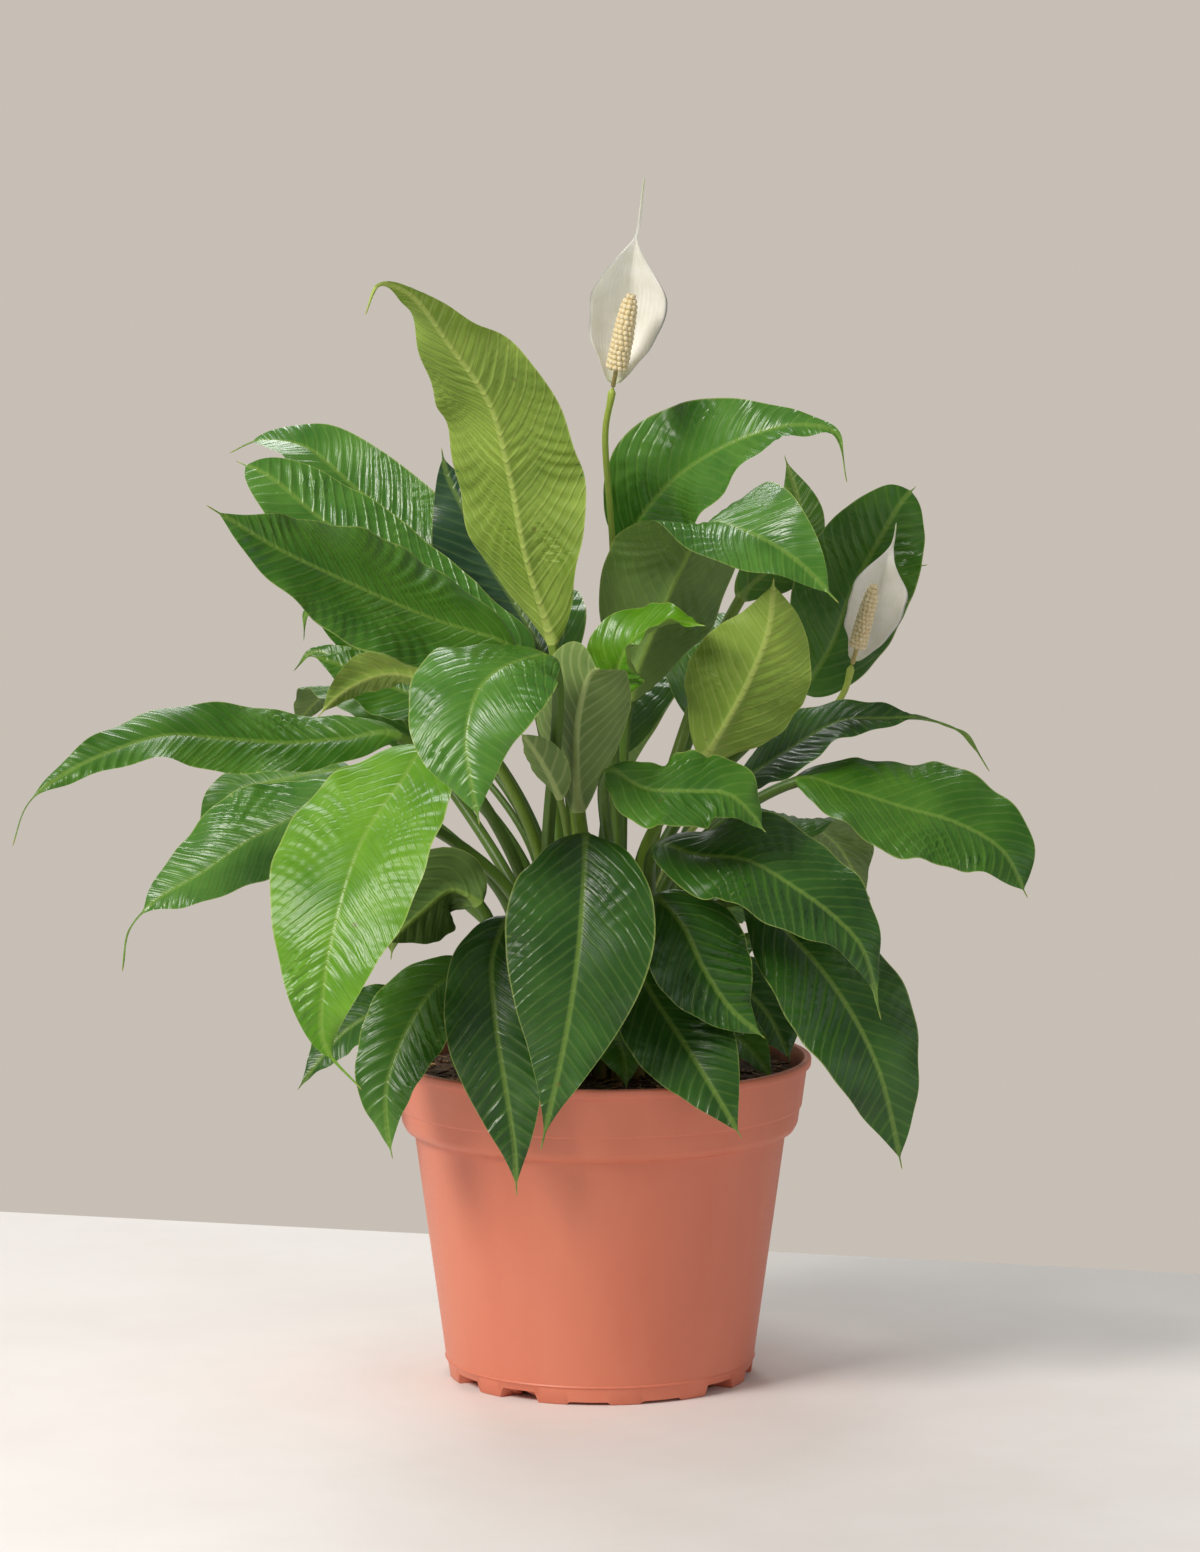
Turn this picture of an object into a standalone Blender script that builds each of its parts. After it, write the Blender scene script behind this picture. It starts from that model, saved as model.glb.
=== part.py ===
"""Potted peace lily: a clump of long-stalked leaves and two white flowers in a plastic nursery pot.

The frame is +Z up, with the origin on the floor under the pot's centre and the front at -Y.
Named sizes are in millimetres, and MM turns them into Blender's metres.
"""

import math
from dataclasses import dataclass

import bmesh
import bpy
from mathutils import Vector, noise

MM = 0.001
GAP = 0.3  # clearance between pieces that touch on the real plant
CUT_OVERRUN = 3.0  # how far a cutter runs past what it cuts
WELD = 0.05  # vertices nearer than this are joined on the axis

# Nursery pot
POT_HEIGHT = 125.6
RIM_RADIUS = 82.5
RIM_HEIGHT = 3.2
RIM_ROUND = 0.9
RIM_DRAFT = 0.2
RIM_UNDERCUT = 0.8
RIM_FLARE = 0.4  # how far the inside opens out over the rim's height
WALL = 1.6
COLLAR_OVERHANG = 1.7  # how far the rim stands out beyond the collar
COLLAR_TAPER = 0.125  # radius lost for each millimetre down the collar
COLLAR_BAND_DEPTH = 18.8  # from the rim's top to the fine step round the collar
COLLAR_STEP = 0.7
STEP_DROP = 0.6  # height over which a fine step or ridge steps in
COLLAR_DEPTH = 26.0  # from the rim's top to where the collar turns in
COLLAR_TURN_DROP = 3.8
COLLAR_TURN_SHARE = 0.3  # a corner of the turn lies this far in, as a share of it
COLLAR_TURN_SLOPE = 0.4  # and this far up it
INSIDE_TURN_RISE = 1.0
BODY_TOP_RADIUS = 72.4
BASE_RADIUS = 59.4
RIDGE_HEIGHT = 7.0  # the fine line above the base ring
RIDGE_STEP = 0.5
FLOOR_UNDERSIDE = 4.6
FLOOR_THICKNESS = 1.8
FOOT_WIDTH = 8.0  # radial width of the base ring
UNDERSIDE_DRAFT = 1.0
PAD_RADIUS = 8.0  # moulding pad at the centre of the underside
POT_STEPS = 44

# Notches round the base ring, and drainage holes in the floor
NOTCH_COUNT = 13
NOTCH_START = -59.5  # degrees from the front of the first notch
NOTCH_OUTER_WIDTH = 15.0
NOTCH_INNER_WIDTH = 7.0
NOTCH_HEIGHT = 4.0
SHALLOW_WIDTH = 15.0
NOTCH_TOP_NARROWING = 2.0  # how much narrower a notch is at its top
SHALLOW_HEIGHT = 1.1
HOLE_COUNT = 6
HOLE_RADIUS = 4.5
HOLE_RING_RADIUS = 34.0

# Potting mix and crown
MIX_DEPTH = 6.6  # mix surface below the rim's top
MIX_LUMP = 1.3
MIX_LUMP_SPACING = 13.0
MIX_STEPS = 40
MIX_RINGS = 9
CROWN_CENTRE = (0.0, 10.0)
CROWN_RADIUS = 37.0
CROWN_FOOT_SHARE = 0.8  # of the crown's radius, at its bottom
CROWN_RISE = 1.2  # crown's flat top above the mix surface
CROWN_DEPTH = 13.0
CROWN_SHOULDER = 2.0
CROWN_STEPS = 40

# Leaves
BLADE_THICKNESS = 0.8
STALK_STATIONS = 5
BLADE_STATIONS = 10
BLADE_START_LENGTH = 0.12  # share of the blade over which the round stalk turns flat
RIPPLE_SHIFT = 2.2  # radians by which the right margin's waves run ahead of the left's
FOOT_SWELL = 0.5  # a stalk's foot is this much thicker than its top
CURVE_STEPS = 12
TIP_THREAD = 0.05  # half-width of a drip tip's thread, as a share of the blade's
LEAF_PHASE_STEP = 1.7  # radians by which each leaf's margin waves are shifted from the last leaf's

# Flowers
FLOWER_STALK_RADIUS = 1.25
FLOWER_STALK_POINTS = 14
SPATHE_STATIONS = 15
SPATHE_FOOT_RADIUS = 0.9
SPATHE_SHOULDER = 0.68  # lower gives the cup rounder shoulders
SPADIX_SIDES = 12
SPADIX_NECK_RADIUS = 0.9
SPADIX_NECK_LENGTH = 6.5
SPADIX_PROFILE_STEPS = 7
SPADIX_TAPER = 0.15  # share of the radius lost from foot to tip
SPADIX_ROUNDING = 5  # higher keeps the sides straighter before the end rounds over
SPADIX_SHOULDER = 0.4

MIX_TOP = POT_HEIGHT - MIX_DEPTH
CROWN_TOP = MIX_TOP + CROWN_RISE

# The plant's points were laid out for these sizes, and follow them when they change
LAID_OUT_CROWN_TOP = 120.2
LAID_OUT_CROWN_RADIUS = 37.0
LAID_OUT_RIM_RADIUS = 82.5
PLANT_RISE = CROWN_TOP - LAID_OUT_CROWN_TOP
PLANT_SPREAD = RIM_RADIUS / LAID_OUT_RIM_RADIUS
CROWN_SCALE = CROWN_RADIUS / LAID_OUT_CROWN_RADIUS


@dataclass
class Leaf:
    """One leaf. Its points run up the stalk and along the midrib, in millimetres.

    The stalk starts at a place (x, y) on the crown and ends where the blade begins. face_base and
    face_tip are the directions that the blade's upper side looks in. fold is how far each half
    rises from flat at the midrib, and curl how far it goes on turning to its margin, both in
    degrees, left half first. ripple is the height of the margin's waves and widest the share of
    the blade's length at which it is widest.
    """

    name: str
    stalk: list
    blade: list
    width: float
    face_base: tuple
    face_tip: tuple
    fold: tuple = (14, 14)
    curl: tuple = (0, 0)
    ripple: float = 1.0
    waves: float = 3.0
    widest: float = 0.4
    tail: float = 0.04
    stalk_radius: float = 2.2
    fullness: float = 0.85

    def outline(self, share):
        """The half-width, as a share of its greatest, at a share of the blade's length.

        The last part, tail, is the thin drip tip. A lower fullness gives rounder shoulders.
        """
        if share <= 0.0 or share >= 1.0:
            return 0.0
        body = share / (1.0 - self.tail)
        thread = TIP_THREAD * (1.0 - share) ** 0.5
        if body >= 1.0:
            return thread
        tip_power = self.fullness * (1.0 - self.widest) / self.widest
        wide = (body / self.widest) ** self.fullness
        wide *= ((1.0 - body) / (1.0 - self.widest)) ** tip_power
        return max(wide, thread * min(1.0, 4 * share))


@dataclass
class Flower:
    """One flower: its stalk from a place on the crown, and the spathe and spadix at the stalk's end.

    spathe is the midrib's points above the stalk's end, and face the way that the spathe opens.
    widest is the share of the spathe's cup at which it is widest, and tail the share of its length
    that is only a thin tip.
    """

    name: str
    stalk: list
    spathe: list
    spathe_width: float
    widest: float
    tail: float
    face: tuple
    spadix_tip: tuple
    spadix_radius: float


LEAVES = [
    Leaf(
        "upright_leaf",
        stalk=[(-6, 2), (-8, 0, 206), (-18, -6, 287)],
        blade=[
            (-28, -12, 320), (-34, -18, 351), (-42, -30, 381), (-57, -42, 403),
            (-71, -56, 422), (-82, -66, 425), (-87, -72, 414),
        ],
        width=57,
        face_base=(0.55, 0.85, 0.1),
        face_tip=(0.1, 0.6, 0.7),
        fold=(10, 16),
        curl=(4, -10),
        ripple=1.6,
        tail=0.06,
        fullness=0.95,
    ),
    Leaf(
        "upper_left_back_leaf",
        stalk=[(-10, 14), (-15, 22, 199), (-31, 42, 277)],
        blade=[
            (-62, 58, 314), (-79, 66, 327), (-98, 74, 343), (-119, 84, 359),
            (-138, 92, 361), (-150, 96, 356),
        ],
        width=40,
        face_base=(-0.2, -1, 0.5),
        face_tip=(-0.3, -0.3, 1),
        fold=(10, 10),
        curl=(6, 6),
        ripple=0.8,
        widest=0.58,
        tail=0.07,
        fullness=0.7,
    ),
    Leaf(
        "upper_left_leaf",
        stalk=[(-14, 6), (-15, 12, 201), (-28, 22, 278)],
        blade=[
            (-58, 26, 295), (-83, 30, 312), (-109, 36, 332), (-130, 42, 349),
            (-144, 50, 355),
        ],
        width=42,
        face_base=(-0.1, -1, 0.7),
        face_tip=(-0.4, -0.6, 1),
        fold=(8, 8),
        curl=(-8, -10),
        ripple=0.8,
        widest=0.6,
        fullness=0.6,
    ),
    Leaf(
        "left_large_leaf",
        stalk=[(-18, 1), (-15, -2, 206), (-33, -12, 283)],
        blade=[
            (-65, -22, 298), (-95, -32, 312), (-120, -42, 325), (-148, -52, 343),
        ],
        width=60,
        face_base=(-0.1, -0.75, 1),
        face_tip=(-0.2, -0.9, 0.8),
        fold=(8, 10),
        curl=(-14, -20),
        ripple=1.3,
        widest=0.42,
    ),
    Leaf(
        "slate_leaf",
        stalk=[(-2, 17), (-9, 22, 203), (-21, 36, 275)],
        blade=[
            (-34, 44, 299), (-45, 50, 316), (-54, 54, 335), (-61, 57, 350),
            (-63, 58, 360),
        ],
        width=46,
        face_base=(0.1, -1, 0.35),
        face_tip=(0, -1, 0.2),
        fold=(8, 8),
        ripple=0.8,
        widest=0.42,
    ),
    Leaf(
        "upper_right_leaf",
        stalk=[(10, 20), (5, 26, 203), (10, 38, 320)],
        blade=[
            (24, 28, 344), (41, 16, 358), (59, 6, 367), (76, 0, 371),
            (90, -4, 368), (95, -6, 349),
        ],
        width=52,
        face_base=(0.3, -1, 0.7),
        face_tip=(0.7, -0.8, 0.6),
        fold=(10, 10),
        curl=(10, 6),
        ripple=1.4,
        widest=0.32,
        fullness=1.05,
    ),
    Leaf(
        "folded_top_leaf",
        stalk=[(8, 6), (8, 4, 206), (11, 6, 264)],
        blade=[
            (20, 2, 290), (31, -4, 316), (41, -18, 334), (58, -36, 331),
            (75, -47, 321), (90, -54, 306),
        ],
        width=61,
        face_base=(-0.1, 1, 0.35),
        face_tip=(-0.02, -1, 0.5),
        fold=(10, 10),
        curl=(8, 8),
        ripple=1.3,
        widest=0.46,
    ),
    Leaf(
        "yellow_tip_leaf",
        stalk=[(12, 26), (20, 40, 201), (56, 66, 299)],
        blade=[
            (73, 70, 316), (80, 74, 332), (74, 80, 356),
        ],
        width=26,
        face_base=(0, -1, 0.2),
        face_tip=(0, -1, 0.2),
        fold=(12, 12),
        ripple=0.6,
    ),
    Leaf(
        "right_top_leaf",
        stalk=[(20, 16), (24, 30, 202), (80, 56, 263)],
        blade=[
            (91, 58, 279), (100, 54, 303), (110, 48, 323), (119, 44, 339),
            (125, 50, 345),
        ],
        width=46,
        face_base=(0.3, -1, 0.4),
        face_tip=(0.2, -0.8, 0.6),
        fold=(8, 8),
        curl=(-8, -8),
        ripple=1.6,
        widest=0.56,
        fullness=0.55,
    ),
    Leaf(
        "right_thin_tip_leaf",
        stalk=[(24, 22), (32, 44, 201), (81, 76, 270)],
        blade=[
            (101, 86, 295), (118, 90, 308), (133, 94, 311),
        ],
        width=18,
        face_base=(0.1, -1, 0.6),
        face_tip=(0.1, -1, 0.8),
        fold=(10, 10),
        ripple=0.6,
        widest=0.35,
    ),
    Leaf(
        "olive_leaf",
        stalk=[(16, -2), (16, -4, 203), (40, -12, 243)],
        blade=[
            (48, -18, 257), (57, -26, 275), (64, -32, 294), (66, -36, 315),
        ],
        width=48,
        face_base=(0, 1, 0.3),
        face_tip=(0.1, 1, 0.2),
        fold=(12, 8),
        curl=(14, 10),
        ripple=1.0,
        widest=0.45,
    ),
    Leaf(
        "small_back_left_leaf",
        stalk=[(-20, 24), (-23, 36, 202), (-59, 60, 255)],
        blade=[
            (-80, 70, 262), (-100, 76, 270), (-118, 80, 276),
        ],
        width=32,
        face_base=(0, -1, 0.8),
        face_tip=(0, -1, 0.8),
        fold=(10, 10),
        ripple=0.8,
    ),
    Leaf(
        "grey_left_leaf",
        stalk=[(-24, 10), (-23, 18, 200), (-63, 32, 266)],
        blade=[
            (-82, 36, 272), (-100, 40, 265), (-112, 42, 254),
        ],
        width=26,
        face_base=(0, 0.6, 1),
        face_tip=(-0.3, 1, 0.4),
        fold=(10, 10),
        curl=(6, 6),
        ripple=0.6,
    ),
    Leaf(
        "curled_tip_leaf",
        stalk=[(-22, 30), (-27, 48, 200), (-80, 84, 257)],
        blade=[
            (-101, 92, 270), (-117, 98, 275), (-125, 100, 267),
        ],
        width=16,
        face_base=(0, -1, 0.8),
        face_tip=(-0.3, -1, 0.6),
        fold=(8, 8),
        ripple=0.5,
        widest=0.35,
        stalk_radius=1.3,
    ),
    Leaf(
        "thread_tip_leaf",
        stalk=[(-16, 29), (-25, 52, 200), (-72, 90, 260)],
        blade=[
            (-101, 100, 280), (-119, 104, 291), (-121, 106, 279),
        ],
        width=16,
        face_base=(0, -1, 0.8),
        face_tip=(-0.3, -1, 0.6),
        fold=(8, 8),
        ripple=0.5,
        widest=0.35,
        stalk_radius=1.3,
    ),
    Leaf(
        "long_left_leaf",
        stalk=[(-30, 4), (-27, -2, 195), (-77, -12, 251)],
        blade=[
            (-98, -16, 251), (-120, -20, 250), (-143, -26, 252), (-165, -34, 254),
            (-185, -42, 249), (-202, -48, 241), (-216, -52, 230), (-222, -54, 214),
        ],
        width=35,
        face_base=(0, -0.9, 1),
        face_tip=(-0.2, -0.8, 1),
        fold=(10, 8),
        curl=(-14, -12),
        ripple=1.3,
        tail=0.1,
    ),
    Leaf(
        "lower_left_leaf",
        stalk=[(-31, 17), (-33, 20, 184), (-100, 22, 226)],
        blade=[
            (-117, 22, 218), (-137, 20, 208), (-156, 16, 195), (-175, 12, 184),
            (-184, 10, 174), (-187, 8, 157),
        ],
        width=46,
        face_base=(-0.2, -0.8, 1),
        face_tip=(-0.5, -0.9, 0.6),
        fold=(10, 8),
        curl=(-10, -10),
        ripple=1.0,
        widest=0.42,
        tail=0.2,
    ),
    Leaf(
        "lower_left_back_leaf",
        stalk=[(-29, 24), (-37, 40, 181), (-100, 66, 228)],
        blade=[
            (-126, 74, 226), (-151, 80, 217), (-163, 84, 192), (-168, 86, 174),
        ],
        width=26,
        face_base=(-0.2, -0.7, 1),
        face_tip=(-0.5, -1, 0.4),
        fold=(8, 8),
        ripple=0.8,
        tail=0.16,
    ),
    Leaf(
        "front_left_leaf",
        stalk=[(-26, -6), (-29, -32, 197), (-63, -58, 251)],
        blade=[
            (-75, -74, 240), (-88, -94, 221), (-96, -108, 197), (-101, -116, 171),
            (-101, -118, 149), (-87, -120, 132),
        ],
        width=62,
        face_base=(-0.35, -0.7, 1),
        face_tip=(-0.2, -1, 0.3),
        fold=(10, 10),
        curl=(-10, -8),
        ripple=1.3,
        tail=0.1,
        fullness=0.75,
    ),
    Leaf(
        "glossy_front_leaf",
        stalk=[(-13, -8), (-20, -34, 203), (-18, -66, 285)],
        blade=[
            (-32, -80, 286), (-44, -94, 278), (-49, -104, 261), (-47, -110, 244),
            (-44, -112, 229),
        ],
        width=54,
        face_base=(-0.2, -0.5, 1),
        face_tip=(-0.25, -1, 0.1),
        fold=(10, 14),
        curl=(-20, -34),
        ripple=1.0,
        widest=0.42,
    ),
    Leaf(
        "furled_leaf",
        stalk=[(3, -10), (0, -24, 174), (-8, -40, 226)],
        blade=[
            (-9, -46, 246), (-8, -52, 264), (-4, -58, 279), (0, -66, 283),
        ],
        width=46,
        face_base=(0.1, 1, 0.1),
        face_tip=(0.2, 0.8, 0.6),
        fold=(24, 24),
        curl=(30, 30),
        ripple=0.3,
        widest=0.62,
    ),
    Leaf(
        "small_furled_leaf",
        stalk=[(-5, -13), (-8, -32, 175), (-15, -52, 232)],
        blade=[
            (-22, -57, 247), (-30, -60, 258),
        ],
        width=18,
        face_base=(0.5, 1, 0.2),
        face_tip=(0.5, 1, 0.2),
        fold=(24, 10),
        curl=(10, 10),
        ripple=0.3,
        widest=0.5,
        stalk_radius=1.3,
    ),
    Leaf(
        "small_bright_leaf",
        stalk=[(5, -3), (7, -9, 207), (5, -14, 266)],
        blade=[
            (8, -20, 282), (15, -26, 292), (28, -36, 298), (40, -46, 297),
        ],
        width=30,
        face_base=(0.1, -0.8, 0.8),
        face_tip=(0.3, -0.6, 1),
        fold=(14, 14),
        curl=(6, 6),
        ripple=1.6,
    ),
    Leaf(
        "right_grey_leaf",
        stalk=[(26, 8), (30, 12, 185), (56, 16, 229)],
        blade=[
            (76, 10, 246), (94, 6, 256), (110, 3, 257), (126, 0, 257),
            (140, -2, 252), (151, -4, 237),
        ],
        width=33,
        face_base=(0.2, -0.55, 1),
        face_tip=(0.5, -0.6, 0.9),
        fold=(10, 10),
        curl=(-14, -10),
        ripple=1.3,
        widest=0.32,
        tail=0.2,
    ),
    Leaf(
        "right_leaf",
        stalk=[(30, 0), (24, -2, 191), (76, -2, 233)],
        blade=[
            (97, -8, 230), (118, -14, 224), (137, -20, 219), (154, -26, 209),
            (164, -30, 191),
        ],
        width=54,
        face_base=(0.1, -0.45, 1),
        face_tip=(0.5, -0.9, 0.4),
        fold=(8, 8),
        curl=(-12, -10),
        ripple=1.3,
        widest=0.6,
    ),
    Leaf(
        "front_bright_leaf",
        stalk=[(11, -12), (6, -44, 192), (3, -64, 243)],
        blade=[
            (17, -72, 238), (34, -80, 238), (48, -84, 237), (62, -88, 223),
        ],
        width=40,
        face_base=(0, -0.8, 1),
        face_tip=(0.4, -0.9, 0.7),
        fold=(8, 8),
        curl=(-10, -12),
        ripple=1.4,
        widest=0.45,
    ),
    Leaf(
        "front_right_leaf",
        stalk=[(20, -12), (20, -34, 179), (21, -54, 213)],
        blade=[
            (38, -66, 212), (55, -74, 211), (71, -82, 203), (86, -90, 193),
            (97, -96, 181), (104, -100, 155),
        ],
        width=50,
        face_base=(0.1, -0.8, 1),
        face_tip=(0.6, -0.9, 0.5),
        fold=(8, 10),
        curl=(-10, -14),
        ripple=1.3,
        widest=0.42,
        tail=0.08,
    ),
    Leaf(
        "low_right_leaf",
        stalk=[(27, -6), (20, -22, 170), (55, -42, 192)],
        blade=[
            (76, -56, 176), (93, -64, 155), (104, -70, 133), (110, -70, 112),
            (114, -70, 93),
        ],
        width=48,
        face_base=(0.2, -0.9, 0.6),
        face_tip=(0.4, -1, 0.3),
        fold=(8, 8),
        curl=(-10, -10),
        ripple=1.1,
        widest=0.45,
    ),
    Leaf(
        "centre_front_leaf",
        stalk=[(0, -20), (0, -48, 185), (-5, -66, 219)],
        blade=[
            (-6, -80, 205), (-8, -92, 180), (-13, -98, 147), (-22, -100, 106),
        ],
        width=56,
        face_base=(0, -1, 0.8),
        face_tip=(0, -1, 0.15),
        fold=(12, 12),
        curl=(-16, -16),
        ripple=1.1,
        widest=0.34,
        fullness=0.75,
    ),
    Leaf(
        "front_left_low_leaf",
        stalk=[(-13, -17), (-15, -44, 162), (-33, -64, 187)],
        blade=[
            (-40, -74, 176), (-39, -84, 153), (-35, -90, 127), (-32, -92, 107),
            (-31, -92, 87),
        ],
        width=38,
        face_base=(-0.2, -1, 0.6),
        face_tip=(0, -1, 0.1),
        fold=(12, 12),
        curl=(-12, -12),
        ripple=1.1,
    ),
    Leaf(
        "left_low_leaf",
        stalk=[(-20, -16), (-26, -36, 160), (-48, -50, 167)],
        blade=[
            (-62, -58, 161), (-73, -66, 145), (-80, -72, 126), (-80, -74, 111),
            (-78, -75, 98),
        ],
        width=34,
        face_base=(-0.4, -1, 0.5),
        face_tip=(-0.4, -1, 0.2),
        fold=(14, 10),
        curl=(-10, -10),
        ripple=1.0,
        widest=0.42,
    ),
    Leaf(
        "small_dark_left_leaf",
        stalk=[(-31, -3), (-37, -16, 154), (-69, -26, 151)],
        blade=[
            (-82, -30, 149), (-99, -34, 139), (-116, -38, 118),
        ],
        width=24,
        face_base=(-0.3, -1, 0.8),
        face_tip=(-0.5, -1, 0.5),
        fold=(10, 10),
        ripple=0.8,
        stalk_radius=1.6,
    ),
    Leaf(
        "shaded_under_leaf",
        stalk=[(-33, 10), (-37, 4, 158), (-47, 0, 185)],
        blade=[
            (-58, -2, 191), (-69, -6, 183), (-83, -10, 170),
        ],
        width=40,
        face_base=(-0.2, 0.9, 0.6),
        face_tip=(-0.3, 1, 0.3),
        fold=(8, 8),
        curl=(6, 6),
        ripple=0.6,
        widest=0.45,
    ),
    Leaf(
        "low_right_curled_leaf",
        stalk=[(14, -20), (14, -40, 169), (21, -58, 194)],
        blade=[
            (31, -68, 186), (39, -74, 170), (49, -80, 156), (62, -82, 145),
        ],
        width=40,
        face_base=(0.2, -1, 0.4),
        face_tip=(0.2, -1, 0.5),
        fold=(10, 10),
        curl=(-8, -14),
        ripple=0.8,
        widest=0.42,
    ),
    Leaf(
        "low_centre_right_leaf",
        stalk=[(7, -21), (9, -42, 154), (12, -50, 169)],
        blade=[
            (21, -60, 156), (35, -76, 137), (53, -92, 109),
        ],
        width=40,
        face_base=(0.1, -1, 0.5),
        face_tip=(0.2, -1, 0.2),
        fold=(10, 10),
        curl=(-8, -8),
        ripple=0.6,
        widest=0.42,
    ),
    Leaf(
        "small_centre_low_leaf",
        stalk=[(-6, -21), (-3, -38, 138)],
        blade=[
            (4, -50, 143), (9, -62, 134), (10, -66, 123),
        ],
        width=26,
        face_base=(0, -1, 0.5),
        face_tip=(0, -1, 0.3),
        fold=(14, 14),
        ripple=0.8,
        widest=0.42,
        stalk_radius=1.3,
    ),
    Leaf(
        "right_inner_low_leaf",
        stalk=[(30, 14), (36, 6, 146), (46, 2, 161)],
        blade=[
            (55, -2, 153), (65, -8, 143), (74, -16, 125),
        ],
        width=36,
        face_base=(0.2, -1, 0.5),
        face_tip=(0.5, -1, 0.3),
        fold=(10, 10),
        curl=(-6, -6),
        ripple=0.8,
        widest=0.42,
    ),
    Leaf(
        "right_small_low_leaf",
        stalk=[(33, 7), (37, -8, 133)],
        blade=[
            (45, -18, 138), (56, -28, 134), (67, -36, 121),
        ],
        width=22,
        face_base=(0.2, -1, 0.5),
        face_tip=(0.5, -1, 0.4),
        fold=(10, 10),
        ripple=0.5,
        widest=0.42,
        stalk_radius=1.4,
    ),
    Leaf(
        "grey_inner_leaf",
        stalk=[(31, 21), (34, 38, 157), (42, 48, 174)],
        blade=[
            (50, 50, 176), (58, 52, 175), (65, 52, 169),
        ],
        width=20,
        face_base=(0.1, -0.7, 1),
        face_tip=(0.1, -0.7, 1),
        fold=(8, 8),
        ripple=0.5,
        widest=0.42,
        stalk_radius=1.4,
    ),
    Leaf(
        "thin_inner_leaf",
        stalk=[(27, 29), (35, 40, 145), (49, 42, 157)],
        blade=[
            (55, 42, 162), (61, 44, 165), (66, 46, 169),
        ],
        width=12,
        face_base=(0.1, -0.7, 1),
        face_tip=(0.1, -0.7, 1),
        fold=(8, 8),
        ripple=0.5,
        widest=0.42,
        stalk_radius=1.2,
    ),
    Leaf(
        "soil_sprout_leaf",
        stalk=[(-25, -12), (-47, -18, 123)],
        blade=[
            (-51, -22, 126), (-55, -24, 130), (-56, -25, 135),
        ],
        width=10,
        face_base=(-0.2, -1, 0.2),
        face_tip=(0, -1, 0.2),
        fold=(10, 10),
        ripple=0.3,
        widest=0.42,
        stalk_radius=1.2,
    ),
    Leaf(
        "back_left_leaf",
        stalk=[(-9, 34), (-32, 66, 178), (-69, 104, 230)],
        blade=[
            (-90, 124, 253), (-112, 144, 255), (-130, 158, 237),
        ],
        width=58,
        face_base=(0.3, -0.4, 1),
        face_tip=(-0.6, 0.6, 0.5),
        fold=(10, 10),
        curl=(-10, -10),
        ripple=1.1,
        widest=0.42,
    ),
    Leaf(
        "back_centre_left_leaf",
        stalk=[(-2, 35), (-12, 60, 187), (-24, 96, 256)],
        blade=[
            (-34, 120, 287), (-45, 146, 297), (-54, 172, 274), (-57, 184, 248),
        ],
        width=62,
        face_base=(0.1, -0.6, 0.8),
        face_tip=(-0.2, 1, 0.2),
        fold=(10, 10),
        curl=(-10, -10),
        ripple=1.1,
        widest=0.42,
    ),
    Leaf(
        "back_centre_leaf",
        stalk=[(6, 38), (0, 70, 177), (5, 112, 230)],
        blade=[
            (5, 136, 256), (7, 164, 262), (8, 190, 238), (9, 200, 203),
        ],
        width=64,
        face_base=(0, -0.6, 0.8),
        face_tip=(0, 1, 0.2),
        fold=(10, 10),
        curl=(-10, -10),
        ripple=1.1,
        widest=0.42,
    ),
    Leaf(
        "back_right_leaf",
        stalk=[(14, 34), (17, 62, 186), (39, 98, 247)],
        blade=[
            (52, 122, 278), (65, 146, 285), (76, 166, 262), (83, 176, 236),
        ],
        width=58,
        face_base=(-0.1, -0.6, 0.8),
        face_tip=(0.3, 1, 0.2),
        fold=(10, 10),
        curl=(-10, -10),
        ripple=1.1,
        widest=0.42,
    ),
    Leaf(
        "back_low_right_leaf",
        stalk=[(22, 32), (25, 58, 163), (58, 96, 194)],
        blade=[
            (77, 122, 204), (97, 144, 193), (114, 160, 165),
        ],
        width=54,
        face_base=(0.4, 0.4, 1),
        face_tip=(0.6, 0.6, 0.4),
        fold=(10, 10),
        curl=(-10, -10),
        ripple=1.1,
        widest=0.42,
    ),
    Leaf(
        "back_low_left_leaf",
        stalk=[(-20, 35), (-32, 66, 153), (-61, 108, 176)],
        blade=[
            (-74, 136, 181), (-84, 162, 165), (-89, 176, 137),
        ],
        width=52,
        face_base=(-0.3, 0.5, 1),
        face_tip=(-0.4, 1, 0.3),
        fold=(10, 10),
        curl=(-10, -10),
        ripple=1.1,
        widest=0.42,
    ),
    Leaf(
        "back_low_centre_leaf",
        stalk=[(0, 42), (0, 80, 143), (3, 116, 159)],
        blade=[
            (3, 142, 159), (3, 168, 143), (3, 184, 110),
        ],
        width=54,
        face_base=(0, 0.5, 1),
        face_tip=(0, 1, 0.2),
        fold=(10, 10),
        curl=(-10, -10),
        ripple=1.1,
        widest=0.42,
    ),
]

FLOWERS = [
    Flower(
        "tall_flower",
        stalk=[(0, 9), (3, 18, 243), (5, 17, 318), (2, 9, 368), (4, 5, 380), (5, 3, 386)],
        spathe=[(7, 12, 398), (10, 14, 415), (12, 11, 431), (15, 5, 448), (16, 2, 457), (17, 0, 466)],
        spathe_width=36,
        widest=0.59,
        tail=0.25,
        face=(0.05, -1, 0.1),
        spadix_tip=(12, -4, 421),
        spadix_radius=4.2,
    ),
    Flower(
        "short_flower",
        stalk=[(17, 8), (24, 22, 192), (58, 33, 232), (88, 34, 254), (96, 30, 265), (99, 26, 277)],
        spathe=[(103, 34, 286), (109, 35, 304), (112, 31, 316), (115, 28, 325), (116, 27, 332)],
        spathe_width=28,
        widest=0.62,
        tail=0.13,
        face=(0.1, -1, 0.1),
        spadix_tip=(107, 18, 308),
        spadix_radius=3.5,
    ),
]


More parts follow.
